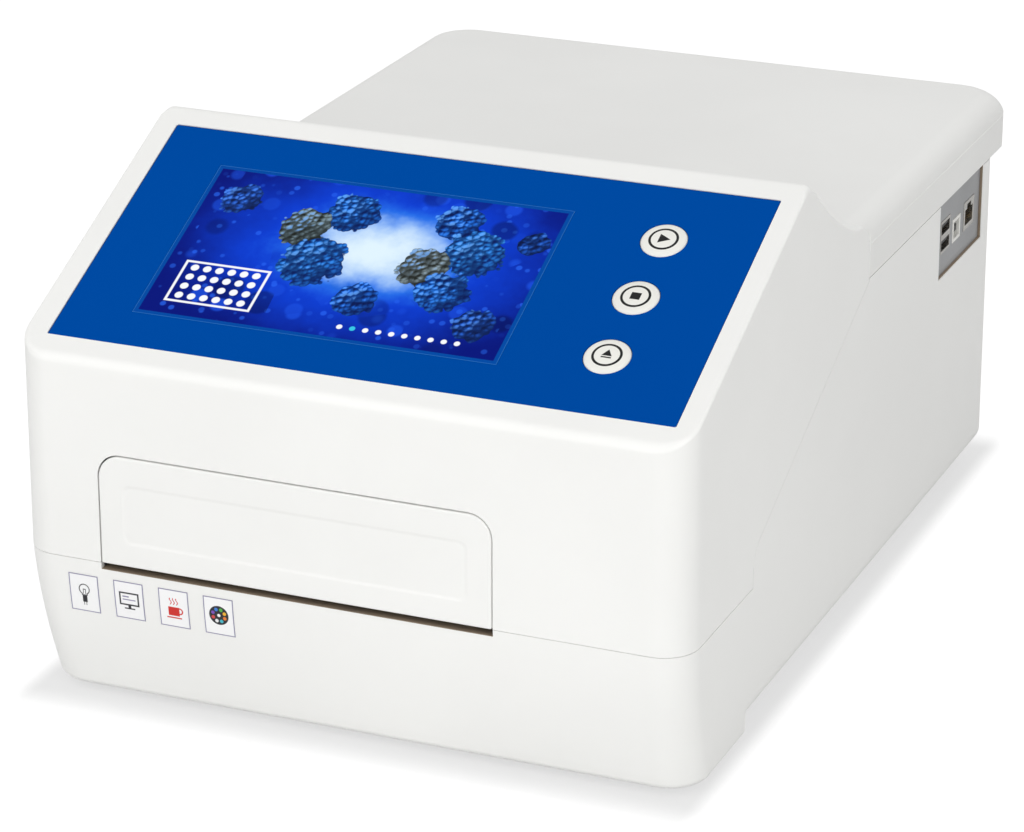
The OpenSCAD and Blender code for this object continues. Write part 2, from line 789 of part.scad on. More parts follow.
// A quarter bend in the Y-Z plane, round a centre, from angle a0
module bend(cy, cz, r, a0)
    translate([beam_x, cy, cz]) rotate([0, 90, 0]) rotate([0, 0, a0])
        rotate_extrude(angle = 90) translate([r, 0]) circle(fibre_r);

module fibre_bundle() color("#383838") {
    rod_y(40, 57, beam_x, wheel_z, fibre_r);
    bend(40, wheel_z + 18, 18, -90);
    rod_z(wheel_z + 18, fibre_top - 18, beam_x, 22, fibre_r);
    bend(4, fibre_top - 18, 18, 90);
    rod_y(bridge_y + 10, 4, beam_x, fibre_top, fibre_r);
    bend(bridge_y + 10, fibre_top - 10, 10, 180);
}

module fibre_bracket() color("darkgray")
    difference() {
        block(beam_x - 9, beam_x + 9, 48, 56, deck_z, wheel_z + 10);
        rod_y(47, 57, beam_x, wheel_z, fibre_r);
    }

module filter_wheel() color("#252525") {
    difference() {
        rod_y(wheel_y, wheel_y + 6, wheel_x, wheel_z, filter_wheel_r);
        for (i = [0:filter_count - 1]) {
            a = 180 + i * 360 / filter_count;
            rod_y(wheel_y - 1, wheel_y + 7, wheel_x + filter_ring_r * cos(a),
                wheel_z + filter_ring_r * sin(a), filter_r);
        }
    }
    rod_y(wheel_y + 5, wheel_y + 28, wheel_x, wheel_z, 2.5);
}

module optical_filters() color("mediumpurple")
    for (i = [0:filter_count - 1]) {
        a = 180 + i * 360 / filter_count;
        rod_y(wheel_y + 1.5, wheel_y + 4.5, wheel_x + filter_ring_r * cos(a),
            wheel_z + filter_ring_r * sin(a), filter_r);
    }

module wheel_motor() color("black")
    difference() {
        union() {
            rod_y(wheel_y + 12, wheel_y + 42, wheel_x, wheel_z, 18);
            block(wheel_x - 14, wheel_x + 14, wheel_y + 14, wheel_y + 40, deck_z, wheel_z - 12);
        }
        rod_y(wheel_y + 11, wheel_y + 29, wheel_x, wheel_z, 2.5 + fit_play);
    }

module lamp_housing() color("silver")
    difference() {
        union() {
            block(beam_x - 20, beam_x + 15, wheel_y + 10, wheel_y + 66, 46, 100);
            block(beam_x - 16, beam_x + 11, wheel_y + 16, wheel_y + 60, deck_z, 46.01);
        }
        block(beam_x - 18, beam_x + 13, wheel_y + 16, wheel_y + 64, 48, 98);
        rod_y(wheel_y + 9, wheel_y + 17, beam_x, wheel_z, 10);
        // cooling slots in the top
        for (i = [0:4]) block(beam_x - 14, beam_x + 9, wheel_y + 22 + i * 8, wheel_y + 25 + i * 8, 97, 101);
    }

module condenser_lens() color("lightcyan")
    rod_y(wheel_y + 11, wheel_y + 15, beam_x, wheel_z, 10);

module halogen_lamp() color("lightyellow") {
    rod_z(66, 82, beam_x, wheel_y + 40, 5.5);
    translate([beam_x, wheel_y + 40, 82]) sphere(5.5);
}

module lamp_socket() color("beige")
    rod_z(48, 66, beam_x, wheel_y + 40, 8);

module detector_board() color("seagreen") {
    block(door_mid - 57, door_mid + 57, bridge_y - 9, bridge_y + 9, 36, 37.6);
    for (x = [door_mid - 53, door_mid + 53]) rod_z(deck_z, 36, x, bridge_y, 3);
}

module photodiodes() color("silver")
    for (i = [0:channel_count - 1]) rod_z(37.6, 42, channel_x(i), bridge_y, 2.7);

module heater_plate() color("peru")
    block(-108, 92, nest_y0 + 12, nest_y0 + nest_l + 2, bridge_z, bridge_z + 3);

module heater_posts() color("silver")
    for (x = [-104, 88], y = [nest_y0 + 17, nest_y0 + nest_l - 3]) rod_z(deck_z, bridge_z, x, y, 3);

// ---------- electronics ----------

module power_supply() color("lightgray")
    difference() {
        block(-118, -50, 58, 160, deck_z, deck_z + 40);
        for (i = [0:8]) block(-108, -60, 66 + i * 10, 70 + i * 10, deck_z + 38, deck_z + 41);
    }

module main_board() color("seagreen") {
    block(-120, -50, 46, 172, 76, 77.6);
    block(-100, -80, 90, 110, 77.5, 80);
    block(-74, -62, 70, 82, 77.5, 80);
    for (y = [60, 120, 140]) block(-116, -108, y, y + 14, 77.5, 86);
    block(-96, -60, 134, 159, 77.5, 92);
}

module board_standoffs() color("silver") {
    for (x = [-116, -54], y = [50, 168]) rod_z(deck_z, 76, x, y, 3);
    for (y = [port_y0 + 3, port_y0 + port_len - 5]) rod_z(deck_z, board_top - 1.6, 96, y, 3);
}

module interface_board() color("seagreen")
    block(90, port_wall_x - 0.2, port_y0 - 2, port_y0 + port_len + 2, board_top - 1.6, board_top);

// Port bodies sit on the interface board and reach through the port plate
port_face = port_plate_x + 0.2;
usb_a_y = 120.5;
usb_b_y = 138;
net_y = 157.5;
usb_a_size = [14, 15.4];
usb_b_size = [12, 11];
net_size = [16, 13.6];

module port_body(y, size, z0, depth)
    block(port_face - depth, port_face, y - size[0] / 2, y + size[0] / 2, z0, z0 + size[1]);

module io_plate() color("gray")
    difference() {
        block(port_plate_x - 1, port_plate_x, port_y0 - 3, port_y0 + port_len + 3,
            port_z0 - 3, seam_z - seam_gap - 0.2);
        port_hole(usb_a_y, usb_a_size, board_top);
        port_hole(usb_b_y, usb_b_size, board_top);
        port_hole(net_y, net_size, board_top);
    }

module port_hole(y, size, z0)
    block(port_wall_x - 5, port_wall_x + 5, y - size[0] / 2 - 0.2, y + size[0] / 2 + 0.2,
        z0 - 0.01, z0 + size[1] + 0.2);

module usb_stack() color("silver")
    difference() {
        port_body(usb_a_y, usb_a_size, board_top, 18);
        for (z = [1.3, 9]) block(port_face - 14, port_face + 1, usb_a_y - 6.3, usb_a_y + 6.3,
            board_top + z, board_top + z + 5.1);
    }

module usb_b_port() color("white")
    difference() {
        port_body(usb_b_y, usb_b_size, board_top, 16);
        block(port_face - 12, port_face + 1, usb_b_y - 4.3, usb_b_y + 4.3, board_top + 1.4, board_top + 9.4);
    }

module network_port() color("silver")
    difference() {
        port_body(net_y, net_size, board_top, 18);
        block(port_face - 13, port_face + 1, net_y - 6, net_y + 6, board_top + 2.2, board_top + 9.6);
        block(port_face - 13, port_face + 1, net_y - 3, net_y + 3, board_top + 9.5, board_top + 12);
    }

// ---------- rear wall ----------

module power_inlet() color("#181818")
    difference() {
        union() {
            block(inlet_x - 28, inlet_x + 28, rear_wall_y, rear_wall_y + 2, inlet_z - 17, inlet_z + 17);
            block(inlet_x - 23.8, inlet_x + 23.8, rear_wall_y - 24, rear_wall_y + 0.01,
                inlet_z - 13.8, inlet_z + 13.8);
        }
        block(inlet_x - 22, inlet_x + 2, rear_wall_y - 17, rear_wall_y + 3, inlet_z - 8.5, inlet_z + 8.5);
        block(inlet_x + 8, inlet_x + 21, rear_wall_y - 14, rear_wall_y + 3, inlet_z - 11, inlet_z + 11);
    }

rocker_axis_y = rear_wall_y - 4;

module power_rocker() color("#282828") {
    x0 = inlet_x + 8.5;
    x1 = inlet_x + 20.5;
    intersection() {
        along_x(x0, x1) polygon([
            [rocker_axis_y - 4, inlet_z - 8], [rocker_axis_y + 5.5, inlet_z - 9.6],
            [rocker_axis_y + 5.5, inlet_z + 9.6], [rocker_axis_y - 4, inlet_z + 8]
        ]);
        rod_x(x0 - 1, x1 + 1, rocker_axis_y, inlet_z, 10.4);
    }
}

module fan_frame() color("#202020") {
    y0 = rear_wall_y - wall - fan_depth;
    y1 = rear_wall_y - wall;
    difference() {
        block(fan_x - fan_size / 2, fan_x + fan_size / 2, y0, y1,
            fan_z - fan_size / 2, fan_z + fan_size / 2);
        rod_y(y0 - 1, y1 + 1, fan_x, fan_z, fan_size / 2 - 2);
        for (sx = [-25, 25], sz = [-25, 25]) rod_y(y0 - 1, y1 + 1, fan_x + sx, fan_z + sz, 2);
    }
    difference() {
        union() {
            rod_y(y0, y0 + 4, fan_x, fan_z, 12);
            for (a = [45, 135]) translate([fan_x, y0, fan_z]) rotate([0, a, 0])
                translate([-fan_size / 2, 0, -1.5]) cube([fan_size, 2, 3]);
        }
        rod_y(y0 - 1, y0 + 5, fan_x, fan_z, 1.5 + fit_play);
    }
}

module fan_rotor() color("#303030") {
    y0 = rear_wall_y - wall - fan_depth + 5;
    y1 = rear_wall_y - wall - 3;
    rod_y(y0, y1, fan_x, fan_z, 12);
    rod_y(y0 - 4.8, y0 + 1, fan_x, fan_z, 1.5);
    for (i = [0:6]) translate([fan_x, (y0 + y1) / 2, fan_z]) rotate([0, i * 360 / 7, 0])
        translate([18.5, 0, 0]) rotate([38, 0, 0]) cube([15, 1.4, 17], center = true);
}

module fan_guard() color("silver") {
    for (r = [8, 15, 22, 28]) translate([fan_x, rear_wall_y + 1, fan_z]) rotate([90, 0, 0])
        rotate_extrude() translate([r, 0]) circle(0.8);
    for (a = [45, 135]) translate([fan_x, rear_wall_y + 0.9, fan_z]) rotate([0, a, 0])
        rod_x(-35.4, 35.4, 0, 0, 0.9);
}

base_case();
front_cover();
top_cover();
front_feet();
rear_feet();
case_screws();
chassis_plate();
chassis_screws();
control_overlay();
screen_window();
lcd_module();
lcd_bracket();
button_board();
key_switches();
start_button();
stop_button();
eject_button();
plate_door();
door_pin();
plate_carrier();
carrier_bushes();
plate_spring();
belt_clamp();
guide_rods();
rod_holders();
drive_motor();
drive_pulley();
idler_pulley();
idler_bracket();
drive_belt();
optics_bridge();
channel_lenses();
fibre_bundle();
fibre_bracket();
filter_wheel();
optical_filters();
wheel_motor();
lamp_housing();
condenser_lens();
halogen_lamp();
lamp_socket();
detector_board();
photodiodes();
heater_plate();
heater_posts();
power_supply();
main_board();
board_standoffs();
interface_board();
io_plate();
usb_stack();
usb_b_port();
network_port();
power_inlet();
power_rocker();
fan_frame();
fan_rotor();
fan_guard();
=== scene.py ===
"""Dressed model of a bench-top microplate reader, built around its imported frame."""

import math

import bmesh
import bpy
from bpy.props import FloatProperty, FloatVectorProperty, IntProperty, PointerProperty
from mathutils import Matrix, Vector


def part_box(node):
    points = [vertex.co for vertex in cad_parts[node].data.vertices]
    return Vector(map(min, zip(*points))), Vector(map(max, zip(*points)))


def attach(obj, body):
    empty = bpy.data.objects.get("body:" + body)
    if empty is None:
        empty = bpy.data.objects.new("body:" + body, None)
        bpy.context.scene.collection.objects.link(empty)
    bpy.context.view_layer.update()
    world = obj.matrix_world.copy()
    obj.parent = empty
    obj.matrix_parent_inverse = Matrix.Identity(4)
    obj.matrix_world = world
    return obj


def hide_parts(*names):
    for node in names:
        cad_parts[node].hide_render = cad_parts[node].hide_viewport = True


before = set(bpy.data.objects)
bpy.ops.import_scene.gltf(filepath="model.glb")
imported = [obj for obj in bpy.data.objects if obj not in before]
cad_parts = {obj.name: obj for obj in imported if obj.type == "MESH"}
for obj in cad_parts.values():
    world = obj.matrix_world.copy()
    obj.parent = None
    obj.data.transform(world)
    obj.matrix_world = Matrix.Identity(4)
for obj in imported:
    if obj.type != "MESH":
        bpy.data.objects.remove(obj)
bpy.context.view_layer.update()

bl_info = {
    "name": "Microplate Reader",
    "version": (1, 0, 0),
    "blender": (4, 5, 0),
    "location": "View3D > Sidebar > Reader",
    "description": "Builds a microplate reader: its casing, display, plate door, ports and insides",
    "category": "Add Mesh",
}

MM = 0.001
BASE_LOW, BASE_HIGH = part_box("base_case")
LID_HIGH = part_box("top_cover")[1]
OVERLAY_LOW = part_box("control_overlay")[0]
WALL = 2.6 * MM
SEAM = 0.3 * MM
# the slot under the plate door, and its opening in the front
SLOT_LEFT, SLOT_RIGHT, SLOT_FOOT = -107.1 * MM, 64.3 * MM, 62 * MM
# the port window in the right wall
PORT_FRONT, PORT_REAR, PORT_FOOT, PORT_TOP = 107 * MM, 174 * MM, 114.3 * MM, 160 * MM
# the display's picture and the size of the overlay on the panel, in millimetres
PICTURE_WIDE, PICTURE_TALL = 157.9, 89.7
OVERLAY_HALF, OVERLAY_TALL = 134, 129.3
LABEL_WIDE, LABEL_TALL = 13.3, 17.0


def length(name, size):
    """A length in millimetres, as a property of the add-on in metres."""
    return FloatProperty(
        name=name, description=name + " of the reader", default=size * MM, min=0.0,
        unit="LENGTH", precision=4)


def angle(name, degrees):
    """An angle as a property of the add-on."""
    return FloatProperty(
        name=name, description=name + " of the reader", default=math.radians(degrees),
        unit="ROTATION")


def colour(name, hex_code):
    """A colour as a property of the add-on, from its six-digit code."""
    return FloatVectorProperty(
        name=name, description="Colour of " + name.lower(), default=linear(hex_code),
        size=3, min=0.0, max=1.0, subtype="COLOR")


def linear(hex_code):
    """Scene colour of a six-digit screen colour."""
    parts = [int(hex_code[i:i + 2], 16) / 255 for i in (0, 2, 4)]
    return tuple(c / 12.92 if c <= 0.04045 else ((c + 0.055) / 1.055) ** 2.4 for c in parts)


class ReaderSizes(bpy.types.PropertyGroup):
    """Sizes of the casing that a user may change."""
    draft: angle("Lean of the side walls", 0.25)
    front_corner: length("Front corner radius", 15)
    rear_corner: length("Rear corner radius", 12)
    lid_corner: length("Lid corner radius", 14)
    lid_edge: length("Lid edge radius", 10)
    lid_round: length("Growth of the lid corners towards the top", 9)
    parting: length("Parting line height", 65)
    chin_radius: length("Chin curve radius", 212)
    chin_spread: length("Growth of the chin corners", 2)
    chin_lean: length("Lean of the chin's left end", 4)
    chin_edge: length("Bottom edge radius of the chin", 3.6)
    bottom_edge: length("Bottom edge radius", 7)
    panel_tilt: angle("Tilt of the display panel", 24.7)
    panel_margin: length("Frame above the overlay", 12)
    panel_side: length("Panel side rounding", 1.3)
    panel_front: length("Panel front rounding", 3.2)
    apex_corner: length("Rounding of the head's upper corners", 4)
    swoop_edge: length("Rounding of the head's rear corners", 13)
    swoop_slope: angle("Slope at the start of the swoop", 43)
    swoop_radius: length("Swoop radius", 195)
    joint: length("Joint of head and lid along Y", 3.2)
    lid_seam: length("Lower edge of the lid", 149.2)
    overlay_shift: length("Shift of the overlay's side edges", 0.7)
    key_radius: length("Key radius", 9.4)
    key_count: IntProperty(name="Keys", description="Number of keys", default=3, min=1)


class ReaderColours(bpy.types.PropertyGroup):
    """Colours of the reader that a user may change."""
    casing: colour("The casing", "f5f5f3")
    lid: colour("The lid", "f0f0ee")
    overlay: colour("The overlay", "004ca6")
    key: colour("The keys", "f0efe9")
    ink: colour("The printed symbols", "0c0c0d")
    port_plate: colour("The port plate", "9b9c9e")


def sizes():
    return bpy.context.scene.reader_sizes


def colours():
    return bpy.context.scene.reader_colours


# ---------------------------------------------------------------- materials

def maths(operation, swapped=False):
    """A method that adds one Math node; swapped puts its own signal last."""
    def method(self, *others):
        values = (*others, self) if swapped else (self, *others)
        return self.paint.math(operation, *values)
    return method


class Signal:
    """A shader socket that adds Math nodes when it is used in an expression."""

    def __init__(self, paint, socket):
        self.paint = paint
        self.socket = socket

    __add__ = __radd__ = maths("ADD")
    __sub__, __rsub__ = maths("SUBTRACT"), maths("SUBTRACT", swapped=True)
    __mul__ = __rmul__ = maths("MULTIPLY")
    __truediv__, __rtruediv__ = maths("DIVIDE"), maths("DIVIDE", swapped=True)
    __lt__, __gt__ = maths("LESS_THAN"), maths("GREATER_THAN")
    __abs__, root = maths("ABSOLUTE"), maths("SQRT")
    least, most = maths("MINIMUM"), maths("MAXIMUM")

    def step(self, low, high):
        """0 below low, 1 above high, smooth between; high may be below low."""
        return self.paint.node(
            "ShaderNodeMapRange", {"interpolation_type": "SMOOTHSTEP", "clamp": True},
            {"Value": self, "From Min": low, "From Max": high, "To Min": 0.0, "To Max": 1.0})


class Paint:
    """A material under construction."""

    def __init__(self, name, **constants):
        self.material = bpy.data.materials.new(name)
        self.material.use_nodes = True
        self.tree = self.material.node_tree
        self.shader = self.tree.nodes["Principled BSDF"]
        self.place = self.node("ShaderNodeTexCoord", out="Object")
        self.feed(**constants)

    def node(self, kind, settings=None, inputs=None, out=0):
        """Adds a node, sets it up, and gives the asked output."""
        node = self.tree.nodes.new(kind)
        for key, value in (settings or {}).items():
            setattr(node, key, value)
        for key, value in (inputs or {}).items():
            self.plug(node.inputs[key], value)
        return Signal(self, node.outputs[out])

    def plug(self, socket, value):
        if isinstance(value, Signal):
            self.tree.links.new(value.socket, socket)
        elif hasattr(value, "__len__") and socket.type == "RGBA":
            socket.default_value = (*value[:3], 1.0)
        else:
            socket.default_value = value

    def math(self, operation, *values):
        return self.node("ShaderNodeMath", {"operation": operation}, dict(enumerate(values)))

    def blend(self, factor, first, second):
        """Colour that goes from first to second with factor."""
        return self.node(
            "ShaderNodeMix", {"data_type": "RGBA"},
            {"Factor": factor, 6: first, 7: second}, out=2)

    def parts(self, vector):
        node = self.node("ShaderNodeSeparateXYZ", inputs={0: vector}).socket.node
        return [Signal(self, node.outputs[i]) for i in range(3)]

    def noise(self, scale, detail=2.0, rough=0.5, where=None):
        return self.node(
            "ShaderNodeTexNoise", None,
            {"Vector": where or self.place, "Scale": scale, "Detail": detail, "Roughness": rough})

    def cells(self, scale, where=None, out="Distance", randomness=1.0):
        return self.node(
            "ShaderNodeTexVoronoi", None,
            {"Vector": where or self.place, "Scale": scale, "Randomness": randomness}, out=out)

    def stretched(self, sx, sy, sz):
        """Object coordinates, stretched for brushed and drawn finishes."""
        return self.node(
            "ShaderNodeMapping", None, {"Vector": self.place, "Scale": (sx, sy, sz)})

    def bump(self, height, strength, distance):
        self.plug(self.shader.inputs["Normal"], self.node(
            "ShaderNodeBump", None,
            {"Height": height, "Strength": strength, "Distance": distance}))
        return self

    def feed(self, **values):
        """Sets the shader's sockets, named in lower case with underscores."""
        for key, value in values.items():
            socket = next(s for s in self.shader.inputs
                          if s.name.lower().replace(" ", "_") == key)
            self.plug(socket, value)
        return self


def moulded(name, shade, roughness=0.38, grain=2600.0, depth=0.05):
    """Injection-moulded plastic with a spark-eroded grain and faint flow shading."""
    p = Paint(name, ior=1.49)
    flow = p.noise(9.0, 3.0)
    fine = p.noise(grain, 2.0, 0.6)
    p.feed(base_color=p.blend(flow.step(0.3, 0.7), [c * 0.97 for c in shade], shade),
           roughness=fine * 0.10 + p.noise(60.0, 2.0) * 0.08 + (roughness - 0.09))
    return p.bump(fine, depth, 0.0002).material


def enamel(name, shade, roughness=0.45):
    """Powder-coated metal with a slight orange peel."""
    p = Paint(name, ior=1.5)
    peel = p.noise(900.0, 2.0)
    p.feed(base_color=p.blend(p.noise(30.0, 3.0).step(0.35, 0.7), shade, [c * 0.9 for c in shade]),
           roughness=peel * 0.16 + (roughness - 0.08))
    return p.bump(peel, 0.12, 0.0003).material


def drawn_metal(name, shade, roughness=0.3, along=(1.0, 1.0, 1.0)):
    """Metal with fine drawn or ground lines and patchy sheen."""
    p = Paint(name, metallic=1.0)
    lines = p.noise(1.0, 3.0, 0.6, where=p.stretched(*[2600.0 / a for a in along]))
    patches = p.noise(40.0, 4.0, 0.55)
    p.feed(base_color=p.blend(patches.step(0.3, 0.75), shade, [c * 0.88 for c in shade]),
           roughness=lines * 0.14 + patches * 0.12 + (roughness - 0.13))
    return p.bump(lines, 0.06, 0.0002).material


def zinc(name, shade, scale=140.0):
    """Passivated zinc sheet with a faint crystal bloom."""
    p = Paint(name, metallic=1.0)
    bloom = p.cells(scale)
    stain = p.noise(25.0, 4.0)
    stained = [c * k for c, k in zip(shade, (0.9, 0.86, 0.74))]
    p.feed(base_color=p.blend(stain.step(0.35, 0.7), shade, stained),
           roughness=bloom * 0.2 + p.noise(300.0) * 0.12 + 0.28)
    return p.bump(bloom, 0.05, 0.0003).material


def soft_rubber(name, shade=(0.018, 0.018, 0.019)):
    p = Paint(name)
    fine = p.noise(1500.0, 3.0)
    dust = p.noise(70.0, 4.0).step(0.5, 0.8)
    p.feed(base_color=p.blend(dust * 0.35, shade, (0.09, 0.088, 0.084)),
           roughness=fine * 0.14 + 0.62)
    return p.bump(fine, 0.25, 0.0003).material


def ribbed(name, shade, axis, pitch, depth=0.6):
    """Dark material with ribs across one axis, as on a toothed belt or a corrugated sleeve, its
    troughs painted darker as shade.
    """
    p = Paint(name)
    place = p.parts(p.place)[axis]
    wave = p.math("SINE", place * (2 * math.pi / pitch))
    # painted shade: the colour darkens in the troughs of the ribs
    p.feed(base_color=p.blend(wave.step(-0.4, 0.6), [c * 0.5 for c in shade], shade),
           roughness=p.noise(800.0) * 0.2 + 0.45)
    return p.bump(wave, depth, pitch * 0.2).material


def circuit(name, shade, scale=260.0):
    """Solder mask over copper: tracks, pads and the weave underneath."""
    p = Paint(name, ior=1.5)
    x, y, z = p.parts(p.place)
    rail = abs(p.math("FRACT", (x + z * 0.31) * scale) - 0.5)
    cross = abs(p.math("FRACT", (y + z * 0.47) * scale) - 0.5)
    zone = p.cells(scale * 0.16, out="Color")
    pick = p.parts(zone)[0]
    track = (rail < 0.16) * (pick > 0.5) + (cross < 0.16) * (pick < 0.42)
    pads = p.cells(scale * 0.9, randomness=0.3).step(0.19, 0.16) * (p.parts(zone)[1] > 0.45)
    copper = track.least(1.0)
    base = p.blend(copper, shade, [c * 1.8 + 0.01 for c in shade])
    p.feed(base_color=p.blend(pads, base, (0.62, 0.56, 0.42)),
           metallic=pads * 0.9,
           roughness=p.noise(500.0) * 0.12 + 0.26 - pads * 0.05)
    return p.bump(copper + pads, 0.35, 0.0001).material


def clear(name, shade, roughness=0.03, ior=1.5, coat=0.0):
    """Glass with faint polishing haze."""
    p = Paint(name, transmission_weight=1.0, ior=ior, coat_weight=coat)
    p.feed(base_color=p.blend(p.noise(60.0).step(0.4, 0.8), shade, [c * 0.97 for c in shade]),
           roughness=p.noise(400.0) * 0.02 + roughness)
    return p.material


def overlay_film(name, shade):
    """Blue printed film: satin, with a very fine matt texture and a lighter sheen across."""
    p = Paint(name, ior=1.5, coat_roughness=0.22, specular_ior_level=0.0)
    fine = p.noise(4200.0, 1.0, 0.6)
    sweep = p.noise(3.0, 1.0)
    p.feed(base_color=p.blend(sweep.step(0.35, 0.7), shade, [c * 0.94 for c in shade]),
           roughness=fine * 0.08 + 0.30, coat_weight=sweep * 0.01)
    return p.bump(fine, 0.03, 0.0001).material


def disc(u, v, x, y, radius, blur=0.06):
    """1 inside a circle."""
    dx, dy = u - x, v - y
    return (dx * dx + dy * dy).root().step(radius + blur, radius - blur)


def bar(u, v, x0, x1, y0, y1, blur=0.05):
    """1 inside an upright rectangle."""
    across = (u - x0).least(x1 - u)
    up = (v - y0).least(y1 - v)
    return across.least(up).step(-blur, blur)


def ring(u, v, x, y, outer, inner, blur=0.06):
    return disc(u, v, x, y, outer, blur) * (1 - disc(u, v, x, y, inner, blur))


def wedge(u, v, x0, x1, y, half, blur=0.06):
    """1 inside a triangle that points along u, its base at x0 and its tip at x1."""
    share = (x1 - u) / (x1 - x0)
    inside = (share * half - abs(v - y)).least(u - x0 if x1 > x0 else x0 - u)
    return inside.step(-blur, blur)


def chart(p, width, height):
    """The piece's own map, from its lower left corner, in millimetres."""
    u, v, _ = p.parts(p.node("ShaderNodeTexCoord", out="UV"))
    return u * width, v * height


# soft lights of the display's picture: scale, where they begin and end, colour and strength
SOFT_LIGHTS = ((9.0, 0.40, 0.26, "1d58f0", 0.6), (22.0, 0.36, 0.2, "2a6cff", 0.55),
               (6.0, 0.45, 0.34, "00073c", 0.55))
# its clumps of cells: middle and radius in millimetres, colour and brightness
CLUMPS = (
    (16, 70, 9.5, "2a55c8", 0.5), (139, 17, 10.0, "2450c4", 0.5), (146, 66, 7.5, "1f49b8", 0.45),
    (66, 70, 13.0, "1c56e8", 1.0), (49, 58, 12.5, "5f6a63", 1.0), (60, 40, 15.5, "1f5cf2", 1.0),
    (112, 72, 11.0, "1a4fdc", 1.0), (124, 56, 14.5, "2160f5", 1.0), (107, 45, 12.0, "6a726a", 1.0),
    (120, 33, 12.5, "1d55e6", 1.0), (86, 22, 10.0, "1b50de", 0.9))


def start_picture(name):
    """Display picture: soft blue lights, a bright glow, clumps of cells, a plate and dots."""
    p = Paint(name, specular_ior_level=0.02, roughness=0.3, emission_strength=1.0)
    u, v = chart(p, PICTURE_WIDE, PICTURE_TALL)
    u, v = u - 1.9, v - 1.9
    at, moved = (
        p.node("ShaderNodeCombineXYZ", None, {"X": u / 100 + right, "Y": v / 100 - down, "Z": 0.0})
        for right, down in ((0.0, 0.0), (0.006, 0.007)))
    deep, mid, sky, pale = (linear(c) for c in ("02147c", "0742de", "3a97fa", "e2f5ff"))
    dx, dy = (u - 84) / 66, (v - 50) / 44
    away = (dx * dx + dy * dy).root() + (p.noise(4.0, 4.0, 0.6, where=at) - 0.5) * 0.55
    back = deep
    for outer, inner, shade in ((1.45, 0.5, mid), (0.78, 0.22, sky), (0.56, 0.08, pale)):
        back = p.blend(away.step(outer, inner), back, shade)
    for scale, low, high, shade, share in SOFT_LIGHTS:
        pick = p.parts(p.cells(scale, where=at, out="Color"))[0]
        spot = p.cells(scale, where=at).step(low, high) * pick.step(0.4, 0.95)
        back = p.blend(spot * away.step(0.35, 0.85) * share, back, linear(shade))
    grain, shifted = p.cells(38.0, where=at), p.cells(38.0, where=moved)
    lobes, lobes_moved = p.cells(15.0, where=at), p.cells(15.0, where=moved)
    fine = p.cells(90.0, where=at)
    relief = ((shifted - grain) * 1.5 + (lobes_moved - lobes) * 1.5 + 0.5).least(1.0).most(0.0)
    pits = (grain * 0.7 + lobes * 0.45 + fine * 0.25).step(0.42, 0.86)
    ragged = (grain - 0.4) * 0.24 + (lobes - 0.4) * 0.30
    for x, y, wide, shade, dim in CLUMPS:
        dx, dy = (u - x) / wide, (v - y) / wide
        far = (dx * dx + dy * dy).root() + ragged
        body = far.step(1.0, 0.95)
        round_off = ((dy - dx) * 0.32 + 0.55 + (0.8 - far) * 0.3).least(1.0).most(0.0)
        tone = linear(shade)
        bright = [min(1.0, c * 2.3 * dim + extra) for c, extra in zip(tone, (0.0, 0.05, 0.16))]
        lit = p.blend(relief * round_off * 1.5, [c * 0.22 for c in tone], bright)
        lit = p.blend(pits * 0.7, lit, [c * 0.08 for c in tone])
        lit = p.blend((relief * round_off).step(0.42, 0.8) * 0.6 * dim, lit, linear("6fb0ff"))
        back = p.blend(body, back, lit)
    white = linear("fbfdff")
    # plain pictogram of a plate with its wells, and a row of progress dots
    plate = bar(u, v, 8, 46, 7, 31, 0.2) * (1 - bar(u, v, 9.1, 44.9, 8.1, 29.9, 0.2))
    wells = None
    for row in range(4):
        for column in range(6):
            dot = disc(u, v, 13.2 + column * 5.5, 11.0 + row * 5.4, 1.75, 0.2)
            wells = dot if wells is None else wells.most(dot)
    back = p.blend(plate.most(wells), back, white)
    for i in range(10):
        dot = disc(u, v, 86 + i * 5.6, 6.2, 1.25, 0.2)
        back = p.blend(dot, back, linear("37c9e8") if i == 1 else white)
    shown = bar(u, v, 0.0, 154.1, 0.0, 85.9, 0.15)
    # painted highlight: a lighter blue band round the shown picture stands for the bright edge of
    # the window recess
    line = 1 - bar(u, v, -1.6, 155.7, -1.6, 87.5, 0.1)
    film = p.blend(line, colours().overlay[:], linear("2a6fc0"))
    p.feed(base_color=p.blend(shown, film, (0.0, 0.0, 0.0)),
           emission_color=p.blend(shown, (0.0, 0.0, 0.0), back))
    return p.material


def key_finish(name, symbol):
    """Ivory key with a printed ring and a plain symbol, mapped from its middle."""
    p = Paint(name, ior=1.48, specular_ior_level=0.2)
    u, v = chart(p, 1.0, 1.0)
    mark = ring(u, v, 0, 0, 6.15, 5.1, 0.1)
    if symbol == "play":
        mark = mark.most(wedge(u, v, -1.9, 2.9, 0, 2.55, 0.08))
    elif symbol == "stop":
        mark = mark.most(bar(u, v, -2.05, 2.05, -1.9, 1.9, 0.08))
    else:
        mark = mark.most(wedge(v, u, -0.55, 2.9, 0, 2.15, 0.08))
        mark = mark.most(bar(u, v, -2.1, 2.1, -1.75, -1.05, 0.08))
    fine = p.noise(1800.0, 2.0)
    ink, body = colours().ink[:], colours().key[:]
    body = p.blend(p.noise(40.0).step(0.3, 0.7), body, [c * 0.97 for c in body])
    p.feed(base_color=p.blend(mark, body, ink),
           roughness=fine * 0.08 + 0.30 + mark * 0.12)
    return p.bump(fine, 0.04, 0.0001).material


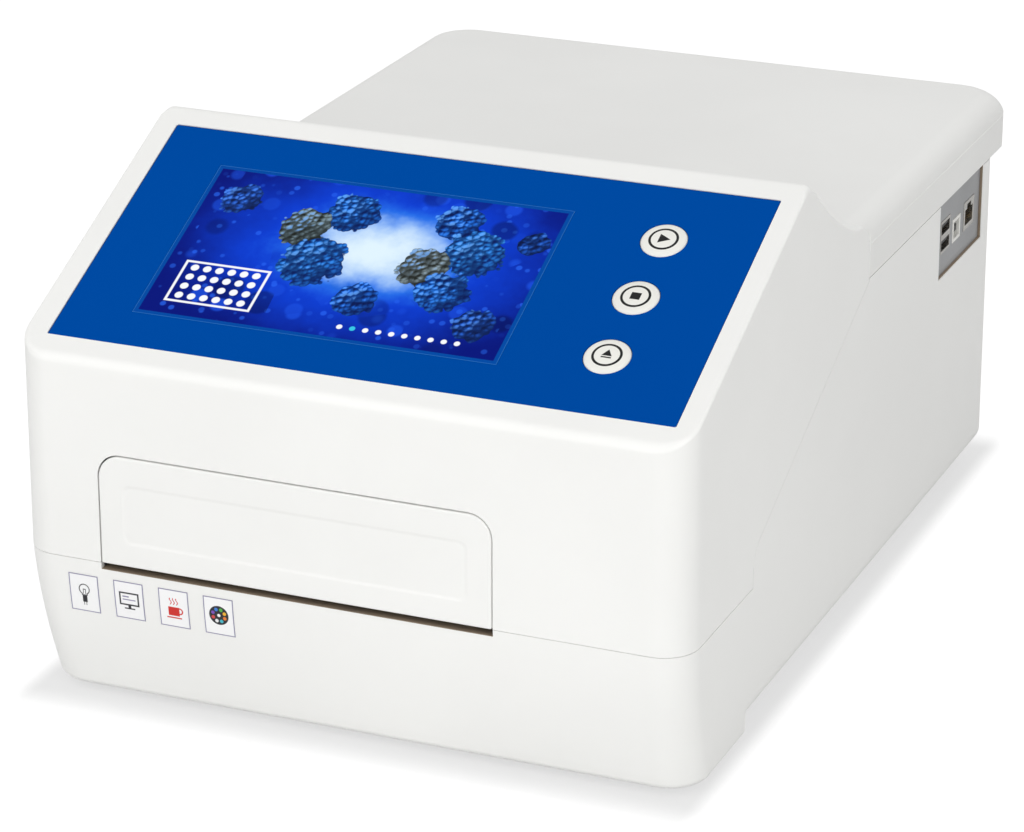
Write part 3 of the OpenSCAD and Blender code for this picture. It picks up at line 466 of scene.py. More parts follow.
def label_finish(name, pictogram):
    """White label with a thin violet-grey border and a pictogram."""
    p = Paint(name, ior=1.45)
    u, v = chart(p, LABEL_WIDE, LABEL_TALL)
    fine = p.noise(900.0, 3.0)
    back = p.blend(1 - bar(u, v, 0.42, 12.88, 0.42, 16.58, 0.12),
                   linear(LABEL_PAPER), linear(LABEL_LINE))
    for shade, *shapes in PICTOGRAMS[pictogram]:
        mark = None
        for shape, *places in shapes:
            one = shape(u, v, *places)
            mark = one if mark is None else mark.most(one)
        back = p.blend(mark, back, linear(shade))
    p.feed(base_color=back, roughness=fine * 0.1 + 0.28)
    return p.bump(fine, 0.03, 0.0001).material


def steam(u, v, x):
    """1 on a waving line of steam over a cup."""
    sway = u.paint.math("SINE", v * 2.1) * 0.35
    return bar(u + sway, v, x - 0.22, x + 0.22, 10.2, 13.2, 0.08)


def hole(u, v, index):
    """1 on one window of the filter wheel's pictogram."""
    turn = math.radians(22.5 + index * 45)
    return disc(u, v, 6.65 + 2.75 * math.cos(turn), 9.0 + 2.75 * math.sin(turn), 0.78, 0.1)


LABEL_PAPER, LABEL_LINE, LABEL_INK, LABEL_RED = "f7f7f8", "8d88a8", "26262c", "cf2a23"
WINDOW_SHADES = ("f0b428", "54b348", "3d7fd6", "7a4fb5", "d24545", "e8e8ea", "45b5c4", "e57d2d")
# each mark: its colour, then its shapes with their places in millimetres
PICTOGRAMS = {
    "lamp": (
        (LABEL_INK, (bar, 5.6, 7.7, 4.3, 7.4, 0.1)),
        (LABEL_INK, (bar, 6.0, 6.3, 2.9, 4.3, 0.08), (bar, 7.0, 7.3, 2.9, 4.3, 0.08)),
        (LABEL_INK, (disc, 6.65, 10.2, 2.5, 0.1), (bar, 5.3, 8.0, 7.4, 9.4, 0.1)),
        (LABEL_PAPER, (disc, 6.65, 10.2, 2.05, 0.1), (bar, 5.75, 7.55, 7.8, 9.4, 0.1)),
        (LABEL_INK, (bar, 6.0, 6.3, 8.0, 10.0, 0.08), (bar, 7.0, 7.3, 8.0, 10.0, 0.08)),
        (LABEL_INK, (bar, 6.0, 7.3, 10.0, 10.4, 0.1))),
    "screen": (
        (LABEL_INK, (bar, 2.2, 11.1, 6.2, 12.2, 0.1)),
        (LABEL_PAPER, (bar, 2.9, 10.4, 6.9, 11.5, 0.1)),
        (LABEL_INK, (bar, 6.0, 7.3, 5.0, 6.3, 0.1), (bar, 4.3, 9.0, 4.5, 5.1, 0.1)),
        (LABEL_LINE, (bar, 3.7, 6.6, 9.9, 10.5, 0.1), (bar, 3.7, 9.5, 8.6, 9.1, 0.1))),
    "warm": (
        (LABEL_RED, (bar, 4.0, 9.0, 5.2, 9.2, 0.1), (ring, 9.1, 7.5, 1.55, 0.95, 0.1),
         (bar, 3.2, 9.8, 4.0, 4.6, 0.1)),
        (LABEL_RED, (steam, 5.2), (steam, 6.6), (steam, 8.0))),
    "filter": (
        (LABEL_INK, (disc, 6.65, 9.0, 4.3, 0.1)),
        (LABEL_PAPER, (disc, 6.65, 9.0, 0.7, 0.1)),
        *((shade, (hole, i)) for i, shade in enumerate(WINDOW_SHADES))),
}


# ---------------------------------------------------------------- shapes

def place_on_panel():
    """Matrix from the panel's own axes (across, up the slope, outwards) to the frame."""
    s = sizes()
    rise = 0.6 * MM * math.cos(s.panel_tilt)
    return (Matrix.Translation((0, OVERLAY_LOW.y, OVERLAY_LOW.z + rise))
            @ Matrix.Rotation(s.panel_tilt, 4, "X"))


def shifted(*distances):
    """Matrix that moves by distances in millimetres."""
    return Matrix.Translation([distance * MM for distance in distances])


def new_object(name, bm):
    """A new object of the scene that takes over a bmesh."""
    mesh = bpy.data.meshes.new(name)
    bm.to_mesh(mesh)
    bm.free()
    made = bpy.data.objects.new(name, mesh)
    bpy.context.scene.collection.objects.link(made)
    return made


def make_piece(name, bm, body, material, slot, soften=0.0, replaces=(), weld=True):
    """Turns a bmesh into a finished piece that rides on a body."""
    if weld:
        bmesh.ops.remove_doubles(bm, verts=bm.verts, dist=2e-6)
    return dress(new_object(name, bm), body, material, slot, soften, replaces)


def dress(piece, body, material, slot, soften=0.0, replaces=()):
    """Bevels, smooths and paints a piece, and ties it to its body."""
    if soften:
        round_edges(piece, soften, 2, 50)
    piece.data.shade_smooth()
    even_shading(piece, 32)
    piece.data.materials.clear()
    piece.data.materials.append(material)
    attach(piece, body)
    if replaces:
        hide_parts(*replaces)
    return piece


def round_edges(piece, width, segments, degrees):
    """Bevels the edges of a piece that turn by more than an angle."""
    bevel = piece.modifiers.new("soften", "BEVEL")
    bevel.width, bevel.segments = width, segments
    bevel.limit_method, bevel.angle_limit = "ANGLE", math.radians(degrees)
    bevel.harden_normals = False
    bake_modifiers(piece)


def even_shading(piece, degrees):
    """Smooth shading that stays sharp along the edges above an angle."""
    piece.data.set_sharp_from_angle(angle=math.radians(degrees))
    even = piece.modifiers.new("even", "WEIGHTED_NORMAL")
    even.keep_sharp = True


def bake_modifiers(piece):
    """Applies a piece's modifiers to its mesh."""
    bpy.context.view_layer.update()
    graph = bpy.context.evaluated_depsgraph_get()
    done = bpy.data.meshes.new_from_object(piece.evaluated_get(graph))
    done.name = piece.name
    piece.modifiers.clear()
    old, piece.data = piece.data, done
    bpy.data.meshes.remove(old)


def carve(piece, *cutters):
    """Cuts each bmesh out of a piece, one after another."""
    for bm in cutters:
        bmesh.ops.recalc_face_normals(bm, faces=bm.faces)
        tool = new_object("cutter", bm)
        cut = piece.modifiers.new("cut", "BOOLEAN")
        cut.operation = "DIFFERENCE"
        cut.solver = "EXACT"
        cut.object = tool
        bake_modifiers(piece)
        mesh = tool.data
        bpy.data.objects.remove(tool)
        bpy.data.meshes.remove(mesh)


def slab(width, height, depth, radius=0.0, rounded="all", matrix=None, bm=None, segments=6):
    """A plate in X and Y with round corners, from its lower left corner, rising along Z."""
    own = bmesh.new()
    bmesh.ops.create_grid(own, x_segments=1, y_segments=1, size=0.5)
    bmesh.ops.scale(own, vec=(width, height, 1), verts=own.verts)
    bmesh.ops.translate(own, vec=(width / 2, height / 2, 0), verts=own.verts)
    if radius:
        corners = [v for v in own.verts if rounded == "all" or v.co.y > height / 2]
        bmesh.ops.bevel(own, geom=corners, offset=radius, offset_type="OFFSET", affect="VERTICES",
                        segments=segments, profile=0.5, material=-1)
    grown = bmesh.ops.extrude_face_region(own, geom=own.faces[:])
    bmesh.ops.translate(own, vec=(0, 0, depth),
                        verts=[v for v in grown["geom"] if isinstance(v, bmesh.types.BMVert)])
    bmesh.ops.recalc_face_normals(own, faces=own.faces)
    return join(own, matrix, bm)


def rod(radius, depth, matrix=None, bm=None, segments=32):
    """A round bar along Z from the origin."""
    own = bmesh.new()
    bmesh.ops.create_cone(own, cap_ends=True, segments=segments, radius1=radius,
                          radius2=radius, depth=depth)
    bmesh.ops.translate(own, vec=(0, 0, depth / 2), verts=own.verts)
    return join(own, matrix, bm)


def turned(profile, matrix=None, bm=None):
    """A turned shape from a profile of radius and height pairs, about Z."""
    own = bmesh.new()
    verts = [own.verts.new((r, 0, z)) for r, z in profile]
    edges = [own.edges.new(pair) for pair in zip(verts, verts[1:])]
    bmesh.ops.spin(own, geom=verts + edges, cent=(0, 0, 0), axis=(0, 0, 1), dvec=(0, 0, 0),
                   angle=2 * math.pi, steps=72, use_merge=True)
    bmesh.ops.remove_doubles(own, verts=own.verts, dist=1e-7)
    bmesh.ops.recalc_face_normals(own, faces=own.faces)
    return join(own, matrix, bm)


def join(own, matrix, bm):
    """Moves a bmesh by a matrix, and adds it to another where one is given."""
    if matrix is not None:
        bmesh.ops.transform(own, matrix=matrix, verts=own.verts)
    if bm is None:
        return own
    mesh = bpy.data.meshes.new("part")
    own.to_mesh(mesh)
    own.free()
    bm.from_mesh(mesh)
    bpy.data.meshes.remove(mesh)
    return bm


UPRIGHT = Matrix.Rotation(math.pi / 2, 4, "X")


def box_of(low, high, bm=None):
    """An upright box between two corners."""
    return slab(high[0] - low[0], high[1] - low[1], high[2] - low[2],
                matrix=Matrix.Translation(low), bm=bm)


def lay_chart(bm, unit=1.0, shift=0.5):
    """Gives a bmesh its map: its own X and Y in a unit, shifted."""
    layer = bm.loops.layers.uv.verify()
    for face in bm.faces:
        for loop in face.loops:
            loop[layer].uv = (loop.vert.co.x / unit + shift, loop.vert.co.y / unit + shift)


def chart_grid(rows):
    """A unit square with its map, cut into rows."""
    bm = bmesh.new()
    bmesh.ops.create_grid(bm, x_segments=1, y_segments=rows, size=0.5, calc_uvs=True)
    lay_chart(bm)
    return bm


def half_loft(rows):
    """Skin through rows of points on the right half, mirrored to the left."""
    bm = bmesh.new()
    across, along = len(rows[0]), len(rows)
    bmesh.ops.create_grid(bm, x_segments=across - 1, y_segments=along - 1, size=0.5)
    order = sorted(bm.verts, key=lambda v: (round(v.co.y, 5), round(v.co.x, 5)))
    for vert, point in zip(order, [point for row in rows for point in row]):
        vert.co = point
    bmesh.ops.remove_doubles(bm, verts=bm.verts, dist=2e-6)
    bmesh.ops.mirror(bm, geom=bm.verts[:] + bm.edges[:] + bm.faces[:],
                     matrix=Matrix.Identity(4), merge_dist=2e-6, axis="X")
    bmesh.ops.remove_doubles(bm, verts=bm.verts, dist=2e-6)
    bmesh.ops.recalc_face_normals(bm, faces=bm.faces)
    return bm


def thick_shell(name, rows, wall, inside):
    """A moulded shell: its skin outside, its wall inwards. inside is a point within it."""
    bm = half_loft(rows)
    bm.faces.ensure_lookup_table()
    facing = sum((f.calc_center_median() - inside).normalized().dot(f.normal) * f.calc_area()
                 for f in bm.faces)
    if facing < 0:
        bmesh.ops.reverse_faces(bm, faces=bm.faces)
    piece = new_object(name, bm)
    solid = piece.modifiers.new("wall", "SOLIDIFY")
    solid.thickness = wall
    solid.offset = -1.0
    bake_modifiers(piece)
    return piece


def half_width(z):
    """Half the casing's width at a height: its sides lean in."""
    return BASE_HIGH.x - (z - BASE_LOW.z) * math.tan(sizes().draft)


def side_wall(y):
    """Plan place of the right wall by height, at a place along Y."""
    return lambda z: Vector((half_width(z), y))


def smooth_step(value, low, high):
    """0 below low, 1 above high, smooth between."""
    share = min(1.0, max(0.0, (value - low) / (high - low)))
    return share * share * (3 - 2 * share)


class Head:
    """Side outline of the display head."""

    def __init__(self):
        s = sizes()
        self.s = s
        panel, proud = place_on_panel(), 0.3 * MM
        top = self.apex = panel @ Vector((0, 128.6 * MM + s.panel_margin, proud))
        self.foot = panel @ Vector((0, 0, proud))
        self.round = 4 * MM
        cut = self.round * math.tan((s.panel_tilt + s.swoop_slope) / 2)
        self.start = top.y - cut * math.cos(s.panel_tilt)
        self.end = top.y + cut * math.cos(s.swoop_slope)
        self.centre = (self.start + self.round * math.sin(s.panel_tilt),
                       top.z - cut * math.sin(s.panel_tilt) - self.round * math.cos(s.panel_tilt))
        self.swoop = (top.y + s.swoop_radius * math.sin(s.swoop_slope),
                      top.z + s.swoop_radius * math.cos(s.swoop_slope))

    def height(self, y):
        """Height of the head's skin at a place along Y."""
        s = self.s
        if y <= self.start:
            return self.foot.z + (y - self.foot.y) * math.tan(s.panel_tilt)
        if y <= self.end:
            return self.centre[1] + math.sqrt(self.round ** 2 - (y - self.centre[0]) ** 2)
        swoop = self.swoop[1] - math.sqrt(s.swoop_radius ** 2 - (y - self.swoop[0]) ** 2)
        bend = 1.0 * MM
        above = swoop - LID_HIGH.z if y < -10 * MM else -(y + 14.6 * MM) * 0.37
        reach = min(max(0.0, y - s.joint + SEAM + s.swoop_edge), s.swoop_edge * 0.998)
        return (LID_HIGH.z + bend * math.log(1 + math.exp(min(60, above / bend)))
                - s.swoop_edge + math.sqrt(s.swoop_edge ** 2 - reach ** 2))

    def edge(self, y):
        """Radius of the rounding along the side at a place along Y."""
        s = self.s
        apex = s.apex_corner * (1 - smooth_step(abs(y - self.apex.y), 0.5 * MM, 9 * MM))
        return max(s.panel_side, apex)


class Joint:
    """Slanting joint between the head and the base, seen from the side."""
    corner = Vector((-139.5 * MM, 80.2 * MM))
    slope = math.radians(25.35)
    radius = 12 * MM

    def height(self, y):
        centre_y = self.corner.x + self.radius
        centre_z = (self.corner.y + self.radius * math.tan(self.slope)
                    - self.radius / math.cos(self.slope))
        if y < centre_y - self.radius * math.sin(self.slope):
            return centre_z + math.sqrt(max(0.0, self.radius ** 2 - (y - centre_y) ** 2))
        return self.corner.y + (y - self.corner.x) * math.tan(self.slope)


def arc_steps(count):
    """Angles of a quarter turn, in even steps."""
    return [i * math.pi / 2 / count for i in range(count + 1)]


def spaced(start, end, count):
    """Places from start to end, in even steps."""
    return [start + (end - start) * i / count for i in range(count + 1)]


def casing_paint():
    """The casing's plastic, made once."""
    name = "casing_plastic"
    return bpy.data.materials.get(name) or moulded(name, colours().casing[:])


# ---------------------------------------------------------------- operators

class ReaderOperator:
    """What every operator of this add-on shares."""
    bl_options = {"REGISTER", "UNDO"}

    def execute(self, context):
        self.build()
        return {"FINISHED"}


class READER_OT_front_cover(ReaderOperator, bpy.types.Operator):
    """Display head and front wall in one moulded shell"""
    bl_idname = "reader.front_cover"
    bl_label = "Front Cover"

    def build(self):
        s, head, seam = sizes(), Head(), Joint()
        front, low = BASE_LOW.y, s.parting + SEAM / 2
        rows = [self.profile(head, *station) for station in self.stations(head, seam, front, low)]
        cover = thick_shell("front_cover_shell", rows, WALL, Vector((0, -100 * MM, 120 * MM)))
        self.open_up(cover, front)
        dress(cover, "casing", casing_paint(), "casing_white", 0.35 * MM, replaces=("front_cover",))

    def stations(self, head, seam, front, low):
        """Plan place by height, inward direction, foot height and edge radius, front to back."""
        s = sizes()
        corner = s.front_corner
        yield (lambda z: Vector((0, front))), Vector((0, 1)), low, s.panel_front
        for angle in arc_steps(12):
            outward = Vector((math.sin(angle), -math.cos(angle)))
            mix = smooth_step(angle, 0, math.pi / 2)
            edge = s.panel_front + (s.panel_side - s.panel_front) * mix
            yield (lambda z, o=outward: Vector((half_width(z) - corner, front + corner))
                   + o * corner), -outward, low, edge
        places = spaced(front + corner + 4 * MM, -142 * MM, 6) + [-139.9 * MM, -139.8 * MM]
        places += spaced(-139.4 * MM, -132 * MM, 6) + spaced(-128 * MM, head.start - 14 * MM, 5)
        places += spaced(head.start - 12.5 * MM, head.start - 0.6 * MM, 9)
        places += spaced(head.start, head.end, 6)
        places += spaced(head.end + 0.6 * MM, head.end + 13 * MM, 9)
        places += spaced(head.end + 17 * MM, -26 * MM, 8) + spaced(-24 * MM, s.joint - SEAM, 14)
        for y in places:
            bottom = low if y < -139.85 * MM else seam.height(y) + SEAM / 2
            yield side_wall(y), Vector((-1, 0)), bottom, head.edge(y)

    def profile(self, head, plan, inward, bottom, edge):
        """From the foot of the wall, over its rounded top edge, to the middle of the head."""
        top = head.height(plan(0.17).y) - edge
        points = [Vector((*plan(bottom), bottom))]
        for angle in arc_steps(8):
            reach = edge * (1 - math.cos(angle))
            spot = plan(top) + inward * reach
            points.append(Vector((*spot, head.height(spot.y) - edge * (1 - math.sin(angle)))))
        return points + [Vector((0, *points[-1].yz))]

    def open_up(self, cover, front):
        """Door opening, seat of the overlay, display window and key holes."""
        s, panel = sizes(), place_on_panel()
        door = slab(171.4 * MM, 57.85 * MM, 12 * MM, 10.3 * MM, "top",
                    Matrix.Translation((SLOT_LEFT, front + 8 * MM, 55 * MM)) @ UPRIGHT, segments=10)
        left = -OVERLAY_HALF * MM + s.overlay_shift
        seat = slab(2 * OVERLAY_HALF * MM, OVERLAY_TALL * MM, 8 * MM, 0.8 * MM,
                    matrix=panel @ Matrix.Translation((left, -0.35 * MM, -0.6 * MM)))
        window = slab(159 * MM, 90.8 * MM, 14 * MM, 1 * MM,
                      matrix=panel @ shifted(-104.3, 17.9, -12))
        for place in key_places():
            rod(s.key_radius + 0.9 * MM, 14 * MM,
                panel @ Matrix.Translation((*place, -12 * MM)), window, 48)
        carve(cover, door, seat, window)


def key_places():
    """Middles of the keys on the panel, from the lowest up."""
    return [(95.6 * MM, (31.3 + 33.4 * i) * MM) for i in range(sizes().key_count)]


def chin_recess(z):
    """Distance by which the chin lies behind the front wall."""
    s = sizes()
    drop = max(0.0, s.parting + 8 * MM - z)
    return s.chin_radius - math.sqrt(s.chin_radius ** 2 - drop ** 2)


class READER_OT_base_case(ReaderOperator, bpy.types.Operator):
    """Base with the chin that draws back and the port window in its right wall"""
    bl_idname = "reader.base_case"
    bl_label = "Base Case"

    def drop(self, z):
        """Share of the chin's height that lies above a point of it."""
        high = sizes().parting - SEAM
        return min(1.0, max(0.0, high - z) / (high - 2.7 * MM))

    def corner(self, z):
        """Radius of the front corners, which grows towards the bench."""
        s = sizes()
        return s.front_corner + s.chin_spread * self.drop(z)

    def build(self):
        s = sizes()
        rows = [self.profile(*station) for station in self.stations()]
        base = thick_shell("base_case_shell", rows, WALL, Vector((0, 0, 80 * MM)))
        for spot in (vert.co for vert in base.data.vertices):
            if spot.x < -90 * MM:
                near = smooth_step(-spot.y, 147 * MM, 185 * MM)
                spot.x += s.chin_lean * self.drop(spot.z) ** 1.2 * near
        front, rear, deep = BASE_LOW.y, BASE_HIGH.y, BASE_HIGH.x - 12 * MM
        notch = box_of((SLOT_LEFT, front - 5 * MM, SLOT_FOOT),
                       (SLOT_RIGHT, front + 12 * MM, 72 * MM))
        pocket = box_of((deep, 103.5 * MM, 110.8 * MM),
                        (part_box("io_plate")[1].x + 0.2 * MM, 177.5 * MM, PORT_TOP))
        ports = box_of((deep, PORT_FRONT, PORT_FOOT), (BASE_HIGH.x + 5 * MM, PORT_REAR, PORT_TOP))
        fan = rod(27 * MM, 12 * MM, Matrix.Translation((45 * MM, rear + 5 * MM, 75 * MM)) @ UPRIGHT,
                  segments=64)
        inlet = box_of((-109 * MM, rear - 8 * MM, 29 * MM), (-61 * MM, rear + 5 * MM, 57 * MM))
        carve(base, notch, pocket, ports, fan, inlet)
        dress(base, "casing", casing_paint(), "casing_white", 0.35 * MM, replaces=("base_case",))
        self.shade_openings(front)

    def shade_openings(self, front):
        """Thin dark strips on the floor of the slot and round the port window: painted shade in
        these openings.
        """
        thick, slack = 0.25 * MM, 0.05 * MM
        lining = box_of((SLOT_LEFT + slack, front + 0.5 * MM, SLOT_FOOT),
                        (SLOT_RIGHT - slack, front + 9 * MM, SLOT_FOOT + thick))
        wall = half_width(130 * MM)
        inner, outer = wall - 1.45 * MM, wall - 0.3 * MM
        for y0, y1, top in ((PORT_FRONT, PORT_FRONT + thick, 149 * MM),
                            (PORT_REAR - thick, PORT_REAR, 149 * MM),
                            (PORT_FRONT, PORT_REAR, PORT_FOOT + thick)):
            box_of((inner, y0, PORT_FOOT), (outer, y1, top), lining)
        # painted shade: a dark brownish sheet stands for the shadow in the slot and on the window's
        # jambs
        make_piece("shadow_lining", lining, "casing", soft_rubber("lining_foam", linear("8a7a68")),
                   "casing_white")

    def stations(self):
        """Plan place by height, inward direction, top height and floor height, front to back."""
        s, seam = sizes(), Joint()
        front, rear, low = BASE_LOW.y, BASE_HIGH.y, s.parting - SEAM / 2
        chin, floor = 2.7 * MM, 9 * MM
        yield (lambda z: Vector((0, front + chin_recess(z)))), Vector((0, 1)), low, chin
        for angle in arc_steps(14):
            outward = Vector((math.sin(angle), -math.cos(angle)))
            yield (lambda z, o=outward: Vector((
                half_width(z) - self.corner(z) * (1 - o.x),
                front + chin_recess(z) + self.corner(z) * (1 + o.y)))), -outward, low, chin
        step = -146.6 * MM
        top_seam = s.lid_seam - SEAM
        for y in [-160 * MM, step, step + 0.6 * MM, -143 * MM, -139.6 * MM, -139.5 * MM] \
                + spaced(-139.2 * MM, -132 * MM, 7) + spaced(-110 * MM, 0, 6) + [3.3 * MM] \
                + spaced(3.5 * MM, rear - s.rear_corner, 6):
            top = low if y < -139.55 * MM else min(top_seam, seam.height(y) - SEAM / 2)
            if y > 3.4 * MM:
                top = top_seam
            yield side_wall(y), Vector((-1, 0)), top, chin if y <= step else floor
        for angle in arc_steps(8)[1:]:
            outward = Vector((math.cos(angle), math.sin(angle)))
            yield (lambda z, o=outward: Vector((half_width(z), rear))
                   - Vector((1, 1)) * s.rear_corner + o * s.rear_corner), -outward, top_seam, floor
        yield (lambda z: Vector((0, rear))), Vector((0, -1)), top_seam, floor

    def profile(self, plan, inward, top, floor):
        """From the top edge down the wall, round the bottom edge, to the middle of the floor."""
        edge = sizes().chin_edge if floor < 5 * MM else sizes().bottom_edge
        points = []
        for share in spaced(0, 1, 14):
            z = top + (floor + edge - top) * share
            points.append(Vector((*plan(z), z)))
        for angle in arc_steps(7)[1:]:
            z = floor + edge * (1 - math.sin(angle))
            spot = plan(z) + inward * edge * (1 - math.cos(angle))
            points.append(Vector((max(0.0, spot.x), spot.y, z)))
        points.append(Vector((0, points[-1].y, floor)))
        return points


class READER_OT_lid(ReaderOperator, bpy.types.Operator):
    """Lid with rounded edges that overhangs the rear wall"""
    bl_idname = "reader.lid"
    bl_label = "Lid"

    def build(self):
        s = sizes()
        half, rear = half_width(s.lid_seam), LID_HIGH.y
        wide = s.lid_corner + s.lid_round + 1 * MM
        # the part in front of the joint lies sunk in the head's walls
        spots = [(lambda r, y=y: Vector((half, y)), Vector((-1, 0)), 0.35 * MM)
                 for y in spaced(-20 * MM, s.joint, 6)]
        spots += [(lambda r, y=y: Vector((half, y)), Vector((-1, 0)), 0.0)
                  for y in spaced(s.joint + SEAM, rear - wide, 8)]
        for angle in arc_steps(12):
            outward = Vector((math.cos(angle), math.sin(angle)))
            spots.append((lambda r, o=outward: Vector((half - r, rear - r)) + o * r, -outward, 0.0))
        spots.append((lambda r: Vector((0, rear)), Vector((0, -1)), 0.0))
        rows = []
        for place, inward, sunk in spots:
            plan = place(s.lid_corner) + inward * sunk
            row = [Vector((*plan, s.lid_seam))]
            groove = LID_HIGH.z - s.lid_edge - 0.9 * MM
            row += [Vector((*(plan + inward * depth), groove + rise)) for depth, rise in (
                (0, -0.45 * MM), (0.28 * MM, -0.1 * MM), (0.28 * MM, 0.1 * MM), (0, 0.45 * MM))]
            for angle in arc_steps(8):
                rise = math.sin(angle)
                spot = place(s.lid_corner + s.lid_round * rise) + inward * (
                    s.lid_edge * (1 - math.cos(angle)) + sunk * (1 - rise))
                row.append(Vector((max(0.0, spot.x), spot.y, LID_HIGH.z - s.lid_edge * (1 - rise))))
            row.append(Vector((0, row[-1].y, LID_HIGH.z)))
            rows.append(row)
        lid = thick_shell("top_cover_shell", rows, WALL, Vector((0, 100 * MM, 100 * MM)))
        dress(lid, "casing", moulded("lid_plastic", colours().lid[:], 0.42), "lid_white", 0.3 * MM,
              replaces=("top_cover",))


class READER_OT_plate_door(ReaderOperator, bpy.types.Operator):
    """Swing-up door with a shallow recessed panel, and its hinge knuckle"""
    bl_idname = "reader.plate_door"
    bl_label = "Plate Door"

    def build(self):
        low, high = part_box("plate_door")
        width, height = high.x - low.x, high.z - low.z
        plate = slab(width, height, 3 * MM, 9.7 * MM, "top",
                     Matrix.Translation((low.x, low.y + 3 * MM, low.z)) @ UPRIGHT, segments=10)
        door = make_piece("plate_door_panel", plate, "door", casing_paint(), "door_white",
                          0.7 * MM, replaces=("plate_door",))
        wide, tall = 150.3, 25.7
        corner = Matrix.Translation((-96.6 * MM, low.y + 0.5 * MM, 74.7 * MM))
        recess = slab(wide * MM, tall * MM, 3 * MM, 3.5 * MM, matrix=corner @ UPRIGHT)
        # its sides slope from the face of the door down to its floor
        middle = Vector((-21.45 * MM, 0, 87.55 * MM))
        floor = [v for v in recess.verts if v.co.y > low.y]
        outer = [v for v in recess.verts if v.co.y <= low.y]
        for verts, grown in ((floor, -2), (outer, 16)):
            bmesh.ops.scale(recess, vec=((wide + grown) / wide, 1, (tall + grown) / tall),
                            verts=verts, space=Matrix.Translation(-middle))
        edges = [e for e in recess.edges if all(v.co.y > low.y for v in e.verts)]
        bmesh.ops.bevel(recess, geom=edges, offset=0.5 * MM, offset_type="OFFSET", affect="EDGES",
                        segments=3, profile=0.5, material=-1)
        carve(door, recess)
        round_edges(door, 0.5 * MM, 3, 60)
        even_shading(door, 40)
        along = Matrix.Translation((low.x + 9.5 * MM, high.y - 3.2 * MM, 102.4 * MM)) \
            @ Matrix.Rotation(math.pi / 2, 4, "Y")
        knuckle = rod(3.15 * MM, width - 19 * MM, along)
        make_piece("door_knuckle", knuckle, "door", casing_paint(), "door_white", 0.3 * MM)


class READER_OT_keys(ReaderOperator, bpy.types.Operator):
    """Three domed keys with their printed ring and symbol"""
    bl_idname = "reader.keys"
    bl_label = "Keys"

    def build(self):
        r = sizes().key_radius
        dome = ((0.25, 0.93), (0.5, 0.85), (0.72, 0.70), (0.88, 0.46), (0.96, 0.2))
        profile = [(0, 0.95)] + [(r * share / MM, rise) for share, rise in dome]
        profile += [(r / MM, -0.25), (r / MM, -3.2), (r / MM + 1.8, -3.2), (r / MM + 1.8, -4.4),
                    (2, -4.4), (2, -7), (0, -7)]
        keys = ("eject", "eject"), ("stop", "stop"), ("start", "play")
        for place, (name, symbol) in zip(key_places(), keys):
            panel = place_on_panel() @ Matrix.Translation((*place, 0))
            cap = turned([(a * MM, b * MM) for a, b in profile])
            lay_chart(cap, MM, 0.0)
            bmesh.ops.transform(cap, matrix=panel, verts=cap.verts)
            make_piece(f"{name}_key", cap, f"{name}_key", key_finish(f"{name}_key_plastic", symbol),
                       "key_ivory", replaces=(f"{name}_button",), weld=False)


class READER_OT_display(ReaderOperator, bpy.types.Operator):
    """Blue overlay with its collars and edging, and display with its start picture"""
    bl_idname = "reader.display"
    bl_label = "Display"

    def build(self):
        panel = place_on_panel()
        film = moulded_copy("control_overlay")
        for vert in film.data.vertices:
            if abs(vert.co.x) > 130 * MM:
                vert.co.x += sizes().overlay_shift
        blue = overlay_film("overlay_print", colours().overlay[:])
        dress(film, "casing", blue, "overlay_blue", 0.12 * MM, replaces=("control_overlay",))
        near, far = sizes().key_radius + 0.3 * MM, sizes().key_radius + 0.95 * MM
        low, high = -0.6 * MM, -0.02 * MM
        collars = bmesh.new()
        for spot in key_places():
            turned([(near, low), (far, low), (far, high), (near, high), (near, low)],
                   panel @ Matrix.Translation((*spot, 0)), collars)
        make_piece("overlay_collars", collars, "casing", blue, "overlay_blue")
        # painted shade: dark strips that stand for the shadow in the gap round the overlay
        shift, wide = sizes().overlay_shift, 0.7 * MM
        left, right = -OVERLAY_HALF * MM + shift, OVERLAY_HALF * MM + shift
        foot, top = -0.35 * MM, 128.95 * MM
        edging = bmesh.new()
        for x0, y0, x1, y1 in ((left, foot, left + wide, top), (right - wide, foot, right, top),
                               (left, foot, right, 0.35 * MM), (left, 128.25 * MM, right, top)):
            slab(x1 - x0, y1 - y0, 0.45 * MM,
                 matrix=panel @ Matrix.Translation((x0, y0, low)), bm=edging)
        make_piece("overlay_edging", edging, "casing", soft_rubber("edging_glue", linear("0d2c55")),
                   "overlay_blue")
        picture = chart_grid(1)
        bmesh.ops.scale(picture, vec=(PICTURE_WIDE * MM, PICTURE_TALL * MM, 1), verts=picture.verts)
        bmesh.ops.transform(picture, matrix=panel @ shifted(-24.75, 63.35, -0.12),
                            verts=picture.verts)
        make_piece("display_picture", picture, "casing", start_picture("display_picture_light"),
                   "display_panel", weld=False)


def moulded_copy(node):
    """A welded copy of a CAD node's mesh, ready to be refined."""
    bm = bmesh.new()
    bm.from_mesh(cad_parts[node].data)
    bmesh.ops.remove_doubles(bm, verts=bm.verts, dist=5e-6)
    bmesh.ops.dissolve_limit(bm, angle_limit=math.radians(0.4), verts=bm.verts, edges=bm.edges,
                             delimit=set())
    return new_object(node + "_form", bm)


